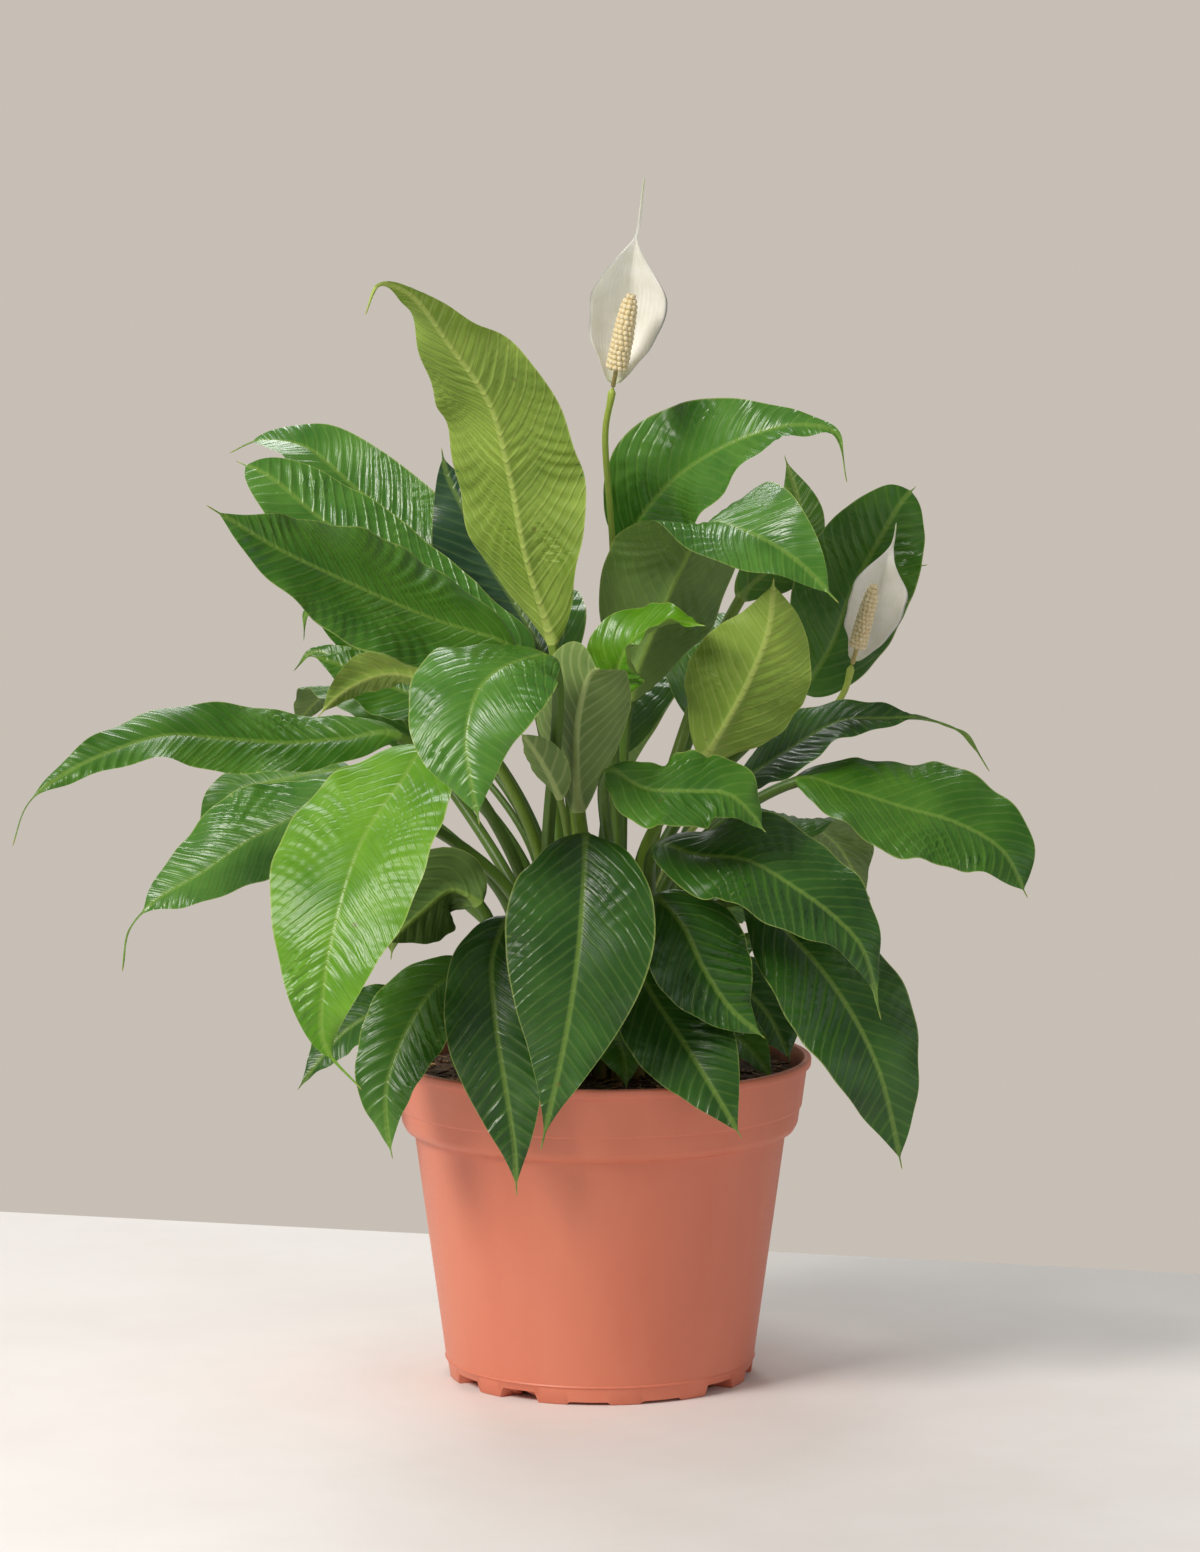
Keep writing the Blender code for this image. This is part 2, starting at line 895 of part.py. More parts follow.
def new_object(name, bm, collection, material=None):
    """Put a bmesh into a named object of the given collection and material."""
    mesh = bpy.data.meshes.new(name)
    bm.to_mesh(mesh)
    bm.free()
    obj = bpy.data.objects.new(name, mesh)
    collection.objects.link(obj)
    if material is not None:
        mesh.materials.append(material)
    return obj


def make_material(name, colour, roughness):
    """A Principled material with one colour."""
    material = bpy.data.materials.new(name)
    material.use_nodes = True
    shader = material.node_tree.nodes["Principled BSDF"]
    shader.inputs["Base Color"].default_value = (*colour, 1.0)
    shader.inputs["Roughness"].default_value = roughness
    shader.inputs["Metallic"].default_value = 0.0
    return material


def smooth_curve(points):
    """Points along a centripetal Catmull-Rom curve, CURVE_STEPS for each stretch."""
    ends = [2 * points[0] - points[1], *points, 2 * points[-1] - points[-2]]
    fine = []
    for index in range(len(points) - 1):
        p0, p1, p2, p3 = ends[index : index + 4]
        t1 = (p1 - p0).length ** 0.5
        t2 = t1 + (p2 - p1).length ** 0.5
        t3 = t2 + (p3 - p2).length ** 0.5
        for step in range(CURVE_STEPS):
            t = t1 + (t2 - t1) * step / CURVE_STEPS
            a1 = p0.lerp(p1, t / t1)
            a2 = p1.lerp(p2, (t - t1) / (t2 - t1))
            a3 = p2.lerp(p3, (t - t2) / (t3 - t2))
            b1 = a1.lerp(a2, t / t2)
            b2 = a2.lerp(a3, (t - t1) / (t3 - t1))
            fine.append(b1.lerp(b2, (t - t1) / (t2 - t1)))
    fine.append(points[-1].copy())
    return fine


def resample(points, count):
    """Space count points evenly along a line of points."""
    lengths = [0.0]
    for first, second in zip(points, points[1:]):
        lengths.append(lengths[-1] + (second - first).length)
    result = []
    index = 0
    for step in range(count):
        target = lengths[-1] * step / (count - 1)
        while index < len(points) - 2 and lengths[index + 1] < target:
            index += 1
        part = (target - lengths[index]) / (lengths[index + 1] - lengths[index])
        result.append(points[index].lerp(points[index + 1], part))
    return result


def station_frames(points, blade_start, face_base, face_tip):
    """Tangent, side and normal at each station.

    Along the blade the normal follows the way the upper side looks. Down the stalk the blade's
    first side direction is carried along without twist.
    """
    last = len(points) - 1
    tangents = []
    for index in range(len(points)):
        along = points[min(index + 1, last)] - points[max(index - 1, 0)]
        tangents.append(along.normalized())
    if blade_start > 0:
        tangents[0] = Vector((0, 0, 1))  # a stalk's foot stands flat on the crown
    sides = [None] * len(points)
    for index in range(blade_start, len(points)):
        share = (index - blade_start) / (last - blade_start)
        face = face_base.lerp(face_tip, share)
        sides[index] = face.cross(tangents[index]).normalized()
    for index in range(blade_start - 1, -1, -1):
        carried = sides[index + 1]
        sides[index] = (carried - tangents[index] * carried.dot(tangents[index])).normalized()
    return [(tangent, side, tangent.cross(side)) for tangent, side in zip(tangents, sides)]


def across_blade(share, side, normal, width, fold, curl):
    """Offset from the midrib, and the surface's normal, at a share across the blade from -1 to 1.

    Each half starts at its fold angle and turns evenly by its curl angle, so its width stays true.
    """
    sign = -1.0 if share < 0 else 1.0
    reach = abs(share)
    half = 0 if share < 0 else 1
    start = fold[half]
    turn = curl[half]
    end = start + turn * reach
    if abs(turn) < 0.02:
        across = reach * math.cos(start)
        lift = reach * math.sin(start)
    else:
        across = (math.sin(end) - math.sin(start)) / turn
        lift = (math.cos(start) - math.cos(end)) / turn
    offset = side * (sign * across * width) + normal * (lift * width)
    surface = normal * math.cos(end) - side * (sign * math.sin(end))
    return offset, surface


# The corners of a leaf's section: share across the blade, and angle round the stalk in degrees
UPPER_CORNERS = [(-1.0, 180), (-0.5, 135), (0.0, 90), (0.5, 45)]
SECTION = UPPER_CORNERS + [(-across, angle - 180) for across, angle in UPPER_CORNERS]


def loft_blade(stations, blade_start, shape, phase):
    """Loft a closed solid from a round stalk, if it has one, to the tip of a flat blade."""
    frames = station_frames(stations, blade_start, Vector(shape.face_base), Vector(shape.face_tip))
    fold = [math.radians(angle) for angle in shape.fold]
    curl = [math.radians(angle) for angle in shape.curl]
    last = len(stations) - 1
    sheet = BLADE_THICKNESS / 2
    bm = bmesh.new()
    rings = []
    for index, (centre, (tangent, side, normal)) in enumerate(zip(stations, frames)):
        share = (index - blade_start) / (last - blade_start)
        width = shape.width / 2 * shape.outline(share)
        roundness = min(1.0, max(0.0, 1.0 - share / BLADE_START_LENGTH))
        swell = FOOT_SWELL * (1.0 - index / max(1, blade_start)) ** 2 if share < 0 else 0.0
        radius = shape.stalk_radius * (1.0 + swell) * (CROWN_SCALE if blade_start else 1.0)
        ring = []
        for across, degrees in SECTION:
            angle = math.radians(degrees)
            offset, surface = across_blade(across, side, normal, width, fold, curl)
            thick = radius * roundness + sheet * (1.0 - roundness)
            if degrees == -90 and share > 0:
                thick = max(sheet, radius * (1.0 - share))
            if 0.0 < share < 1.0:
                turn = 2 * math.pi * shape.waves * share + phase
                turn += 0.0 if across < 0 else RIPPLE_SHIFT
                fade = min(1.0, 6 * share, 5 * (1.0 - share))
                offset += surface * (shape.ripple * across * across * math.sin(turn) * fade)
            sideways = side * (math.cos(angle) * max(radius * roundness, sheet / 2))
            point = centre + offset + sideways + surface * (math.sin(angle) * thick)
            if share >= 1.0:
                point = centre + (point - centre) * 0.5
            ring.append(bm.verts.new(point * MM))
        rings.append(ring)
    for lower, upper in zip(rings, rings[1:]):
        for corner in range(len(SECTION)):
            following = (corner + 1) % len(SECTION)
            quad = [lower[following], lower[corner], upper[corner], upper[following]]
            if corner >= len(UPPER_CORNERS):
                # Both faces of a twisted blade are split the same way, so they can't cross
                quad = quad[1:] + quad[:1]
            bm.faces.new((quad[0], quad[1], quad[2]))
            bm.faces.new((quad[0], quad[2], quad[3]))
    bm.faces.new(rings[0])
    bm.faces.new(list(reversed(rings[-1])))
    return bm


def crown_point(place):
    """A place (x, y) on the crown's top as a point, just clear of it."""
    x = CROWN_CENTRE[0] + (place[0] - CROWN_CENTRE[0]) * CROWN_SCALE
    y = CROWN_CENTRE[1] + (place[1] - CROWN_CENTRE[1]) * CROWN_SCALE
    return Vector((x, y, CROWN_TOP + GAP))


def placed(point):
    """A point of the plant, spread with the pot's rim and lifted with the crown's top."""
    return Vector((point[0] * PLANT_SPREAD, point[1] * PLANT_SPREAD, point[2] + PLANT_RISE))


def make_leaf(leaf, phase, collection, material):
    """One leaf, from its stalk's foot on the crown to its tip."""
    stalk = [crown_point(leaf.stalk[0])] + [placed(point) for point in leaf.stalk[1:]]
    line = smooth_curve(stalk + [placed(point) for point in leaf.blade])
    neck = CURVE_STEPS * (len(stalk) - 1)
    stations = resample(line[: neck + 1], STALK_STATIONS)
    stations += resample(line[neck:], BLADE_STATIONS)[1:]
    bm = loft_blade(stations, STALK_STATIONS - 1, leaf, phase)
    return new_object(leaf.name, bm, collection, material)


def turned(name, profile, steps, collection, material=None):
    """Turn a profile of (radius, height) about the Z axis with a Screw modifier."""
    bm = bmesh.new()
    points = [bm.verts.new((radius * MM, 0.0, height * MM)) for radius, height in profile]
    for first, second in zip(points, points[1:]):
        bm.edges.new((first, second))
    obj = new_object(name, bm, collection, material)
    screw = obj.modifiers.new("Turn", "SCREW")
    screw.axis = "Z"
    screw.steps = steps
    screw.render_steps = steps
    screw.use_merge_vertices = True
    screw.merge_threshold = WELD * MM
    return obj


def pot_outer_profile():
    """The pot's outside, from the rim's top down to the floor: rim, collar, body and base ring."""
    under_rim = POT_HEIGHT - RIM_HEIGHT
    collar_top = RIM_RADIUS - COLLAR_OVERHANG
    band_radius = collar_top - COLLAR_TAPER * (COLLAR_BAND_DEPTH - RIM_HEIGHT)
    turn_radius = band_radius - COLLAR_STEP - COLLAR_TAPER * (COLLAR_DEPTH - COLLAR_BAND_DEPTH)
    body_top = POT_HEIGHT - COLLAR_DEPTH - COLLAR_TURN_DROP
    turn_in = COLLAR_TURN_SHARE * (turn_radius - BODY_TOP_RADIUS)
    return [
        (RIM_RADIUS - RIM_ROUND, POT_HEIGHT),
        (RIM_RADIUS, POT_HEIGHT - RIM_ROUND),
        (RIM_RADIUS - RIM_DRAFT, under_rim),
        (collar_top, under_rim - RIM_UNDERCUT),
        (band_radius, POT_HEIGHT - COLLAR_BAND_DEPTH),
        (band_radius - COLLAR_STEP, POT_HEIGHT - COLLAR_BAND_DEPTH - STEP_DROP),
        (turn_radius, POT_HEIGHT - COLLAR_DEPTH),
        (turn_radius - turn_in, body_top + COLLAR_TURN_SLOPE * COLLAR_TURN_DROP),
        (BODY_TOP_RADIUS, body_top),
        (body_radius(RIDGE_HEIGHT) + RIDGE_STEP, RIDGE_HEIGHT),
        (body_radius(RIDGE_HEIGHT), RIDGE_HEIGHT - STEP_DROP),
        (BASE_RADIUS, 0.0),
    ]


def body_radius(height):
    """The body's outer radius at a height, on its straight taper down to the base."""
    body_top = POT_HEIGHT - COLLAR_DEPTH - COLLAR_TURN_DROP
    return BASE_RADIUS + (BODY_TOP_RADIUS - BASE_RADIUS) * height / body_top


def pot_inner_profile():
    """The pot's inside, from the middle of its floor up to the rim's top."""
    floor_top = FLOOR_UNDERSIDE + FLOOR_THICKNESS
    body_top = POT_HEIGHT - COLLAR_DEPTH - COLLAR_TURN_DROP
    collar_top = RIM_RADIUS - COLLAR_OVERHANG
    collar_bottom = collar_top - COLLAR_STEP - COLLAR_TAPER * (COLLAR_DEPTH - RIM_HEIGHT)
    return [
        (0.0, floor_top),
        (body_radius(floor_top) - WALL, floor_top),
        (BODY_TOP_RADIUS - WALL, body_top),
        (collar_bottom - WALL, POT_HEIGHT - COLLAR_DEPTH + INSIDE_TURN_RISE),
        (collar_top - WALL, POT_HEIGHT - RIM_HEIGHT),
        (collar_top - WALL + RIM_FLARE, POT_HEIGHT),
    ]


def underside_profile():
    """From the base ring's bottom in to the flat pad at the middle of the underside."""
    return [
        (BASE_RADIUS - FOOT_WIDTH, 0.0),
        (BASE_RADIUS - FOOT_WIDTH - UNDERSIDE_DRAFT, FLOOR_UNDERSIDE),
        (PAD_RADIUS + UNDERSIDE_DRAFT, FLOOR_UNDERSIDE),
        (PAD_RADIUS, 0.0),
        (0.0, 0.0),
    ]


def cut(target, cutter):
    """Cut one object's shape out of another."""
    boolean = target.modifiers.new(cutter.name, "BOOLEAN")
    boolean.object = cutter
    boolean.operation = "DIFFERENCE"
    cutter.hide_render = True
    cutter.display_type = "WIRE"


def notch_cutter(number, cutters):
    """A block that cuts one notch out of the base ring. A deep one is wider outside than inside."""
    shallow = number % 4 in (2, 3)
    outer = SHALLOW_WIDTH if shallow else NOTCH_OUTER_WIDTH
    inner = SHALLOW_WIDTH if shallow else NOTCH_INNER_WIDTH
    height = SHALLOW_HEIGHT if shallow else NOTCH_HEIGHT
    bm = bmesh.new()
    bmesh.ops.create_cube(bm, size=1.0)
    length = FOOT_WIDTH + 2 * CUT_OVERRUN
    middle = BASE_RADIUS - FOOT_WIDTH / 2
    for vert in bm.verts:
        width = outer if vert.co.y < 0 else inner
        width -= NOTCH_TOP_NARROWING if vert.co.z > 0 else 0.0
        vert.co.x *= width * MM
        vert.co.y = (vert.co.y * length - middle) * MM
        vert.co.z = (height if vert.co.z > 0 else -CUT_OVERRUN) * MM
    cutter = new_object(f"notch_cutter_{number + 1}", bm, cutters)
    cutter.rotation_euler.z = math.radians(NOTCH_START + 360.0 * number / NOTCH_COUNT)
    return cutter


def hole_cutter(number, cutters):
    """A pin that cuts one drainage hole through the floor."""
    bm = bmesh.new()
    bmesh.ops.create_cone(
        bm,
        cap_ends=True,
        segments=16,
        radius1=HOLE_RADIUS * MM,
        radius2=HOLE_RADIUS * MM,
        depth=(FLOOR_THICKNESS + 2 * CUT_OVERRUN) * MM,
    )
    cutter = new_object(f"hole_cutter_{number + 1}", bm, cutters)
    angle = 2 * math.pi * number / HOLE_COUNT
    height = FLOOR_UNDERSIDE + FLOOR_THICKNESS / 2
    cutter.location = (
        HOLE_RING_RADIUS * math.cos(angle) * MM,
        HOLE_RING_RADIUS * math.sin(angle) * MM,
        height * MM,
    )
    return cutter


def make_pot(collection, cutters, material):
    """The nursery pot, turned in one piece, with its notches and drainage holes cut."""
    profile = pot_inner_profile() + pot_outer_profile() + underside_profile()
    pot = turned("nursery_pot", profile, POT_STEPS, collection, material)
    for number in range(NOTCH_COUNT):
        cut(pot, notch_cutter(number, cutters))
    for number in range(HOLE_COUNT):
        cut(pot, hole_cutter(number, cutters))
    return pot


def crown_profile(clearance):
    """The crown's side as (radius, height), from the middle of its bottom up to its top edge."""
    bottom = CROWN_TOP - CROWN_DEPTH - clearance
    return [
        (0.0, bottom),
        (CROWN_RADIUS * CROWN_FOOT_SHARE + clearance, bottom),
        (CROWN_RADIUS + clearance, CROWN_TOP - CROWN_SHOULDER),
    ]


def make_crown(collection, material):
    """The crown: a low clump of stem bases with a flat top that the stalks stand on."""
    profile = crown_profile(0.0) + [(CROWN_RADIUS - CROWN_SHOULDER, CROWN_TOP), (0.0, CROWN_TOP)]
    crown = turned("crown", profile[::-1], CROWN_STEPS, collection, material)
    crown.location = (CROWN_CENTRE[0] * MM, CROWN_CENTRE[1] * MM, 0.0)
    return crown


def mix_side_radius(height):
    """The pot's inner radius at a height, less the clearance."""
    inner = pot_inner_profile()
    for (low_radius, low), (high_radius, high) in zip(inner[1:], inner[2:]):
        if height <= high:
            part = (height - low) / (high - low)
            return low_radius + (high_radius - low_radius) * part - GAP
    return inner[-1][0] - GAP


def make_mix(collection, cutters, material):
    """The potting mix: a plug that fills the pot, with a lumpy top and a pocket for the crown."""
    inner = pot_inner_profile()
    floor = inner[0][1] + GAP
    side = [(mix_side_radius(height), height) for _, height in inner[2:4]]
    top_radius = mix_side_radius(MIX_TOP)
    profile = [(0.0, floor), (inner[1][0] - GAP, floor), *side]
    for ring in range(MIX_RINGS + 1):
        profile.append((top_radius * (1.0 - ring / MIX_RINGS), MIX_TOP))
    bm = bmesh.new()
    points = [bm.verts.new((radius * MM, 0.0, height * MM)) for radius, height in profile]
    edges = [bm.edges.new(pair) for pair in zip(points, points[1:])]
    bmesh.ops.spin(
        bm,
        geom=points + edges,
        cent=(0, 0, 0),
        axis=(0, 0, 1),
        angle=2 * math.pi,
        steps=MIX_STEPS,
        use_merge=True,
    )
    bmesh.ops.remove_doubles(bm, verts=bm.verts, dist=WELD * MM)
    bmesh.ops.recalc_face_normals(bm, faces=bm.faces)
    for vert in bm.verts:
        radius = math.hypot(vert.co.x, vert.co.y) / MM
        if vert.co.z > (MIX_TOP - 0.1) * MM and radius < top_radius - 0.1:
            where = Vector((vert.co.x, vert.co.y, 0.0)) / (MIX_LUMP_SPACING * MM)
            vert.co.z += MIX_LUMP * noise.noise(where) * MM
    mix = new_object("potting_mix", bm, collection, material)
    above = CROWN_TOP + CUT_OVERRUN
    profile = crown_profile(GAP) + [(CROWN_RADIUS + GAP, above), (0.0, above)]
    pocket = turned("crown_pocket_cutter", profile[::-1], CROWN_STEPS, cutters)
    pocket.location = (CROWN_CENTRE[0] * MM, CROWN_CENTRE[1] * MM, 0.0)
    cut(mix, pocket)
    return mix


@dataclass
class SpatheShape:
    """What loft_blade reads for a spathe: a cupped bract with round shoulders and a drawn-out tip."""

    width: float
    face_base: tuple
    face_tip: tuple
    widest: float
    tail: float
    fold: tuple = (12, 12)
    curl: tuple = (42, 42)
    ripple: float = 0.4
    waves: float = 2.0
    stalk_radius: float = SPATHE_FOOT_RADIUS

    def outline(self, share):
        """The half-width, as a share of its greatest, at a share of the spathe's length."""
        if share <= 0.0 or share >= 1.0:
            return 0.0
        body = share / (1.0 - self.tail)
        thread = TIP_THREAD * (1.0 - share) ** 0.5
        if body < self.widest:
            rising = (body / self.widest) ** SPATHE_SHOULDER
            return max(math.sin(math.pi / 2 * rising), thread)
        falling = min(1.0, (body - self.widest) / (1.0 - self.widest))
        return max(0.5 + 0.5 * math.cos(math.pi * falling), thread)


def flower_seats(flower):
    """Where the spathe and the spadix stand, side by side just above the end of the flower's stalk."""
    end = placed(flower.stalk[-1])
    upward = (end - placed(flower.stalk[-2])).normalized()
    face = Vector(flower.face)
    face = (face - upward * face.dot(upward)).normalized()
    seat = end + upward * (1.5 * GAP)
    return seat - face * (SPATHE_FOOT_RADIUS + GAP / 2), seat + face * (SPADIX_NECK_RADIUS + GAP / 2)


def make_spathe(flower, collection, material):
    """The white bract behind the spadix."""
    foot = flower_seats(flower)[0]
    line = smooth_curve([foot] + [placed(point) for point in flower.spathe])
    face = flower.face
    shape = SpatheShape(flower.spathe_width, face, face, flower.widest, flower.tail)
    bm = loft_blade(resample(line, SPATHE_STATIONS), 0, shape, 0.0)
    return new_object(f"{flower.name}_spathe", bm, collection, material)


def make_spadix(flower, collection, material):
    """The studded spike, as a turned finger on a short neck, leaning from its foot to its tip."""
    foot = flower_seats(flower)[1]
    lean = placed(flower.spadix_tip) - foot
    finger = lean.length - SPADIX_NECK_LENGTH
    profile = [(0.0, 0.0), (SPADIX_NECK_RADIUS, 0.0), (SPADIX_NECK_RADIUS, SPADIX_NECK_LENGTH)]
    for step in range(SPADIX_PROFILE_STEPS + 1):
        share = step / SPADIX_PROFILE_STEPS
        # Nearly straight sides that round over at the end
        radius = flower.spadix_radius * (1.0 - SPADIX_TAPER * share)
        radius *= (1.0 - share**SPADIX_ROUNDING) ** 0.5
        rise = SPADIX_SHOULDER if step == 0 else 0.0
        profile.append((radius, SPADIX_NECK_LENGTH + finger * share + rise))
    spadix = turned(f"{flower.name}_spadix", profile[::-1], SPADIX_SIDES, collection, material)
    spadix.location = foot * MM
    spadix.rotation_euler = lean.to_track_quat("Z", "Y").to_euler()
    return spadix


def make_flower_stalk(flower, collection, material):
    """The flower's round stalk, from the crown to the foot of its spathe."""
    foot = crown_point(flower.stalk[0])
    line = smooth_curve([foot] + [placed(point) for point in flower.stalk[1:]])
    curve = bpy.data.curves.new(f"{flower.name}_stalk", "CURVE")
    curve.dimensions = "3D"
    curve.bevel_depth = FLOWER_STALK_RADIUS * MM
    curve.bevel_resolution = 2
    curve.use_fill_caps = True
    spline = curve.splines.new("POLY")
    spline.points.add(FLOWER_STALK_POINTS - 1)
    for point, place in zip(spline.points, resample(line, FLOWER_STALK_POINTS)):
        point.co = (*(place * MM), 1.0)
    stalk = bpy.data.objects.new(f"{flower.name}_stalk", curve)
    collection.objects.link(stalk)
    curve.materials.append(material)
    return stalk


def build():
    """Clear the scene and make the whole potted plant."""
    for obj in list(bpy.data.objects):
        bpy.data.objects.remove(obj)
    plant = bpy.data.collections.new("potted_peace_lily")
    cutters = bpy.data.collections.new("cutters")
    for collection in (plant, cutters):
        bpy.context.scene.collection.children.link(collection)

    clay = make_material("terracotta_plastic", (0.72, 0.19, 0.11), 0.42)
    soil = make_material("peat_and_bark", (0.035, 0.02, 0.012), 0.95)
    stem = make_material("stem_base", (0.2, 0.3, 0.06), 0.5)
    green = make_material("leaf_green", (0.05, 0.18, 0.02), 0.3)
    stalk_green = make_material("flower_stalk_green", (0.22, 0.42, 0.08), 0.45)
    white = make_material("spathe_white", (0.85, 0.84, 0.76), 0.5)
    cream = make_material("spadix_cream", (0.78, 0.68, 0.42), 0.6)

    make_pot(plant, cutters, clay)
    make_mix(plant, cutters, soil)
    make_crown(plant, stem)
    for number, leaf in enumerate(LEAVES):
        make_leaf(leaf, LEAF_PHASE_STEP * number, plant, green)
    for flower in FLOWERS:
        make_flower_stalk(flower, plant, stalk_green)
        make_spathe(flower, plant, white)
        make_spadix(flower, plant, cream)


build()
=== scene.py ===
"""Looks of a potted peace lily: leaves, two white flowers, potting mix and a nursery pot.

Every length in the tables is in millimetres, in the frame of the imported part: +Z up, the origin on
the floor under the pot's centre, and the front at -Y. MM turns them into metres.
"""

import logging
import math
import random
from dataclasses import dataclass
from enum import Enum
from typing import Callable

import bmesh
import bpy
from mathutils import Matrix, Vector, noise


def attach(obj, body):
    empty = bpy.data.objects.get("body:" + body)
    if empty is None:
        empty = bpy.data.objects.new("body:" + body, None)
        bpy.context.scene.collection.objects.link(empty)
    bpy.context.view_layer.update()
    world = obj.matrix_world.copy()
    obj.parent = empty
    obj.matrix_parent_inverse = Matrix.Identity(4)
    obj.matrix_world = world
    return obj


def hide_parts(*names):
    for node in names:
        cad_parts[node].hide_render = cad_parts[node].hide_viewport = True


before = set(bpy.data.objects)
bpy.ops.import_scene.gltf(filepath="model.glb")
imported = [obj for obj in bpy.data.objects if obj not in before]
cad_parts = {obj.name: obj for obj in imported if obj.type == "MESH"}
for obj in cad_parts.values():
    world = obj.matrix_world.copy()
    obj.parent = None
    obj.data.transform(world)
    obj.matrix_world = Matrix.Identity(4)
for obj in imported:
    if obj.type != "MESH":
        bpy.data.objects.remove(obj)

logging.basicConfig(level=logging.INFO, format="%(levelname)s %(message)s")
LOG = logging.getLogger("peace_lily")

MM = 0.001
UV_UNIT = 100.0  # millimetres to one unit of a blade's UV map
Point = tuple[float, ...]

# Leaf anatomy, in millimetres
VEIN_SPACING = 5.8  # between the main side veins of a full-grown blade
VEIN_RISE = 0.8  # how far a side vein climbs for each millimetre that it runs outwards
VEIN_SWEEP = 0.012  # how much faster it climbs towards the margin
BLADE_THICKNESS = 0.5
STATION_SPACING = 1.25  # along a blade's mesh
BLADE_COLUMNS = 22  # across a blade's mesh
CURVE_STEPS = 12
LEAF_PHASE_STEP = 1.7  # radians between one leaf's margin waves and the next leaf's
RIPPLE_SHIFT = 2.2  # radians between the waves of a blade's two margins
TIP_THREAD = 0.05  # half-width of a drip tip's thread, as a share of the blade's
FOOT_DEPTH = 1.0  # how far a stalk's foot reaches below the crown's top
BLADE_SHARP = 55.0  # degrees past which a blade's edge is shaded sharp
POT_SHARP = 38.0  # the same for the pot
WELD = 1e-6  # metres within which vertices are joined
BLADE_WELD = 2e-6

# Where things stand in the pot
MIX_TOP = 119.0
CROWN_TOP = 120.2
CROWN_CENTRE = (0.0, 10.0)
CROWN_RADIUS = 37.0


class Slot(Enum):
    """The record's material slots."""

    POT = "terracotta_plastic"
    MIX = "peat_and_bark"
    CROWN = "stem_base"
    LEAF = "leaf"
    BRIGHT = "leaf_bright"
    UNDERSIDE = "leaf_underside"
    YOUNG = "young_leaf"
    STALK = "flower_stalk"
    SPATHE = "spathe"
    SPADIX = "spadix"


class Tone(Enum):
    """How old a leaf is and how it catches the light, which sets its two faces' colours. So several
    tones are lit and shaded copies of one leaf material, with painted light, painted shade or a painted
    sheen in their colours.
    """

    DEEP_SHADE = "deep_shade"
    MID = "mid"
    GLOSSY = "glossy"
    BRIGHT = "bright"
    BLUE_SHEEN = "blue_sheen"
    PALE = "pale"
    YOUNG = "young"


def linear(colour: str) -> tuple[float, float, float, float]:
    """Turn an sRGB hex colour into linear light.

    Args:
        colour: Six hex digits after a #.

    Returns:
        Linear red, green, blue and an alpha of 1.
    """
    parts = [int(colour[place : place + 2], 16) / 255 for place in (1, 3, 5)]
    light = [part / 12.92 if part <= 0.04045 else ((part + 0.055) / 1.055) ** 2.4 for part in parts]
    return (light[0], light[1], light[2], 1.0)


def add_node(
    tree: bpy.types.NodeTree,
    kind: str,
    settings: dict[str, object] | None = None,
    inputs: dict[str | int, object] | None = None,
) -> bpy.types.Node:
    """Add one node with its settings, its input values and its links.

    Args:
        tree: The material's or world's node tree.
        kind: The node's type, such as ShaderNodeBump.
        settings: Properties of the node itself.
        inputs: For each input, by name or number, a value or the output socket it is linked from.

    Returns:
        The node.
    """
    node = tree.nodes.new(kind)
    for name, value in (settings or {}).items():
        setattr(node, name, value)
    for key, value in (inputs or {}).items():
        if isinstance(value, bpy.types.NodeSocket):
            tree.links.new(value, node.inputs[key])
        else:
            node.inputs[key].default_value = value
    return node


def new_material(name: str) -> tuple[bpy.types.Material, bpy.types.NodeTree]:
    """Make an empty node material.

    Args:
        name: The material's name.

    Returns:
        The material and its node tree.
    """
    material = bpy.data.materials.new(name)
    material.use_nodes = True
    material.node_tree.nodes.clear()
    return material, material.node_tree


def finish_surface(tree: bpy.types.NodeTree, inputs: dict[str | int, object]) -> None:
    """Close a material with a Principled shader and its output.

    Args:
        tree: The material's node tree.
        inputs: The Principled shader's values and links.
    """
    shader = add_node(tree, "ShaderNodeBsdfPrincipled", {}, inputs)
    add_node(tree, "ShaderNodeOutputMaterial", {}, {"Surface": shader.outputs[0]})


def new_piece(
    name: str,
    bm: bmesh.types.BMesh,
    materials: list[bpy.types.Material],
    replaces: list[str],
) -> bpy.types.Object:
    """Put a bmesh into a smooth-shaded piece that rides on the root.

    Args:
        name: The piece's name.
        bm: Its mesh, which is freed.
        materials: Its materials, in the order of the faces' material numbers.
        replaces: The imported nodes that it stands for.

    Returns:
        The piece.
    """
    mesh = bpy.data.meshes.new(name)
    bm.to_mesh(mesh)
    bm.free()
    for material in materials:
        mesh.materials.append(material)
    mesh.shade_smooth()
    piece = bpy.data.objects.new(name, mesh)
    bpy.context.scene.collection.objects.link(piece)
    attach(piece, "root")
    for node in replaces:
        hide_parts(node)
    LOG.info("%s: %d faces for %s", name, len(mesh.polygons), ", ".join(replaces))
    return piece


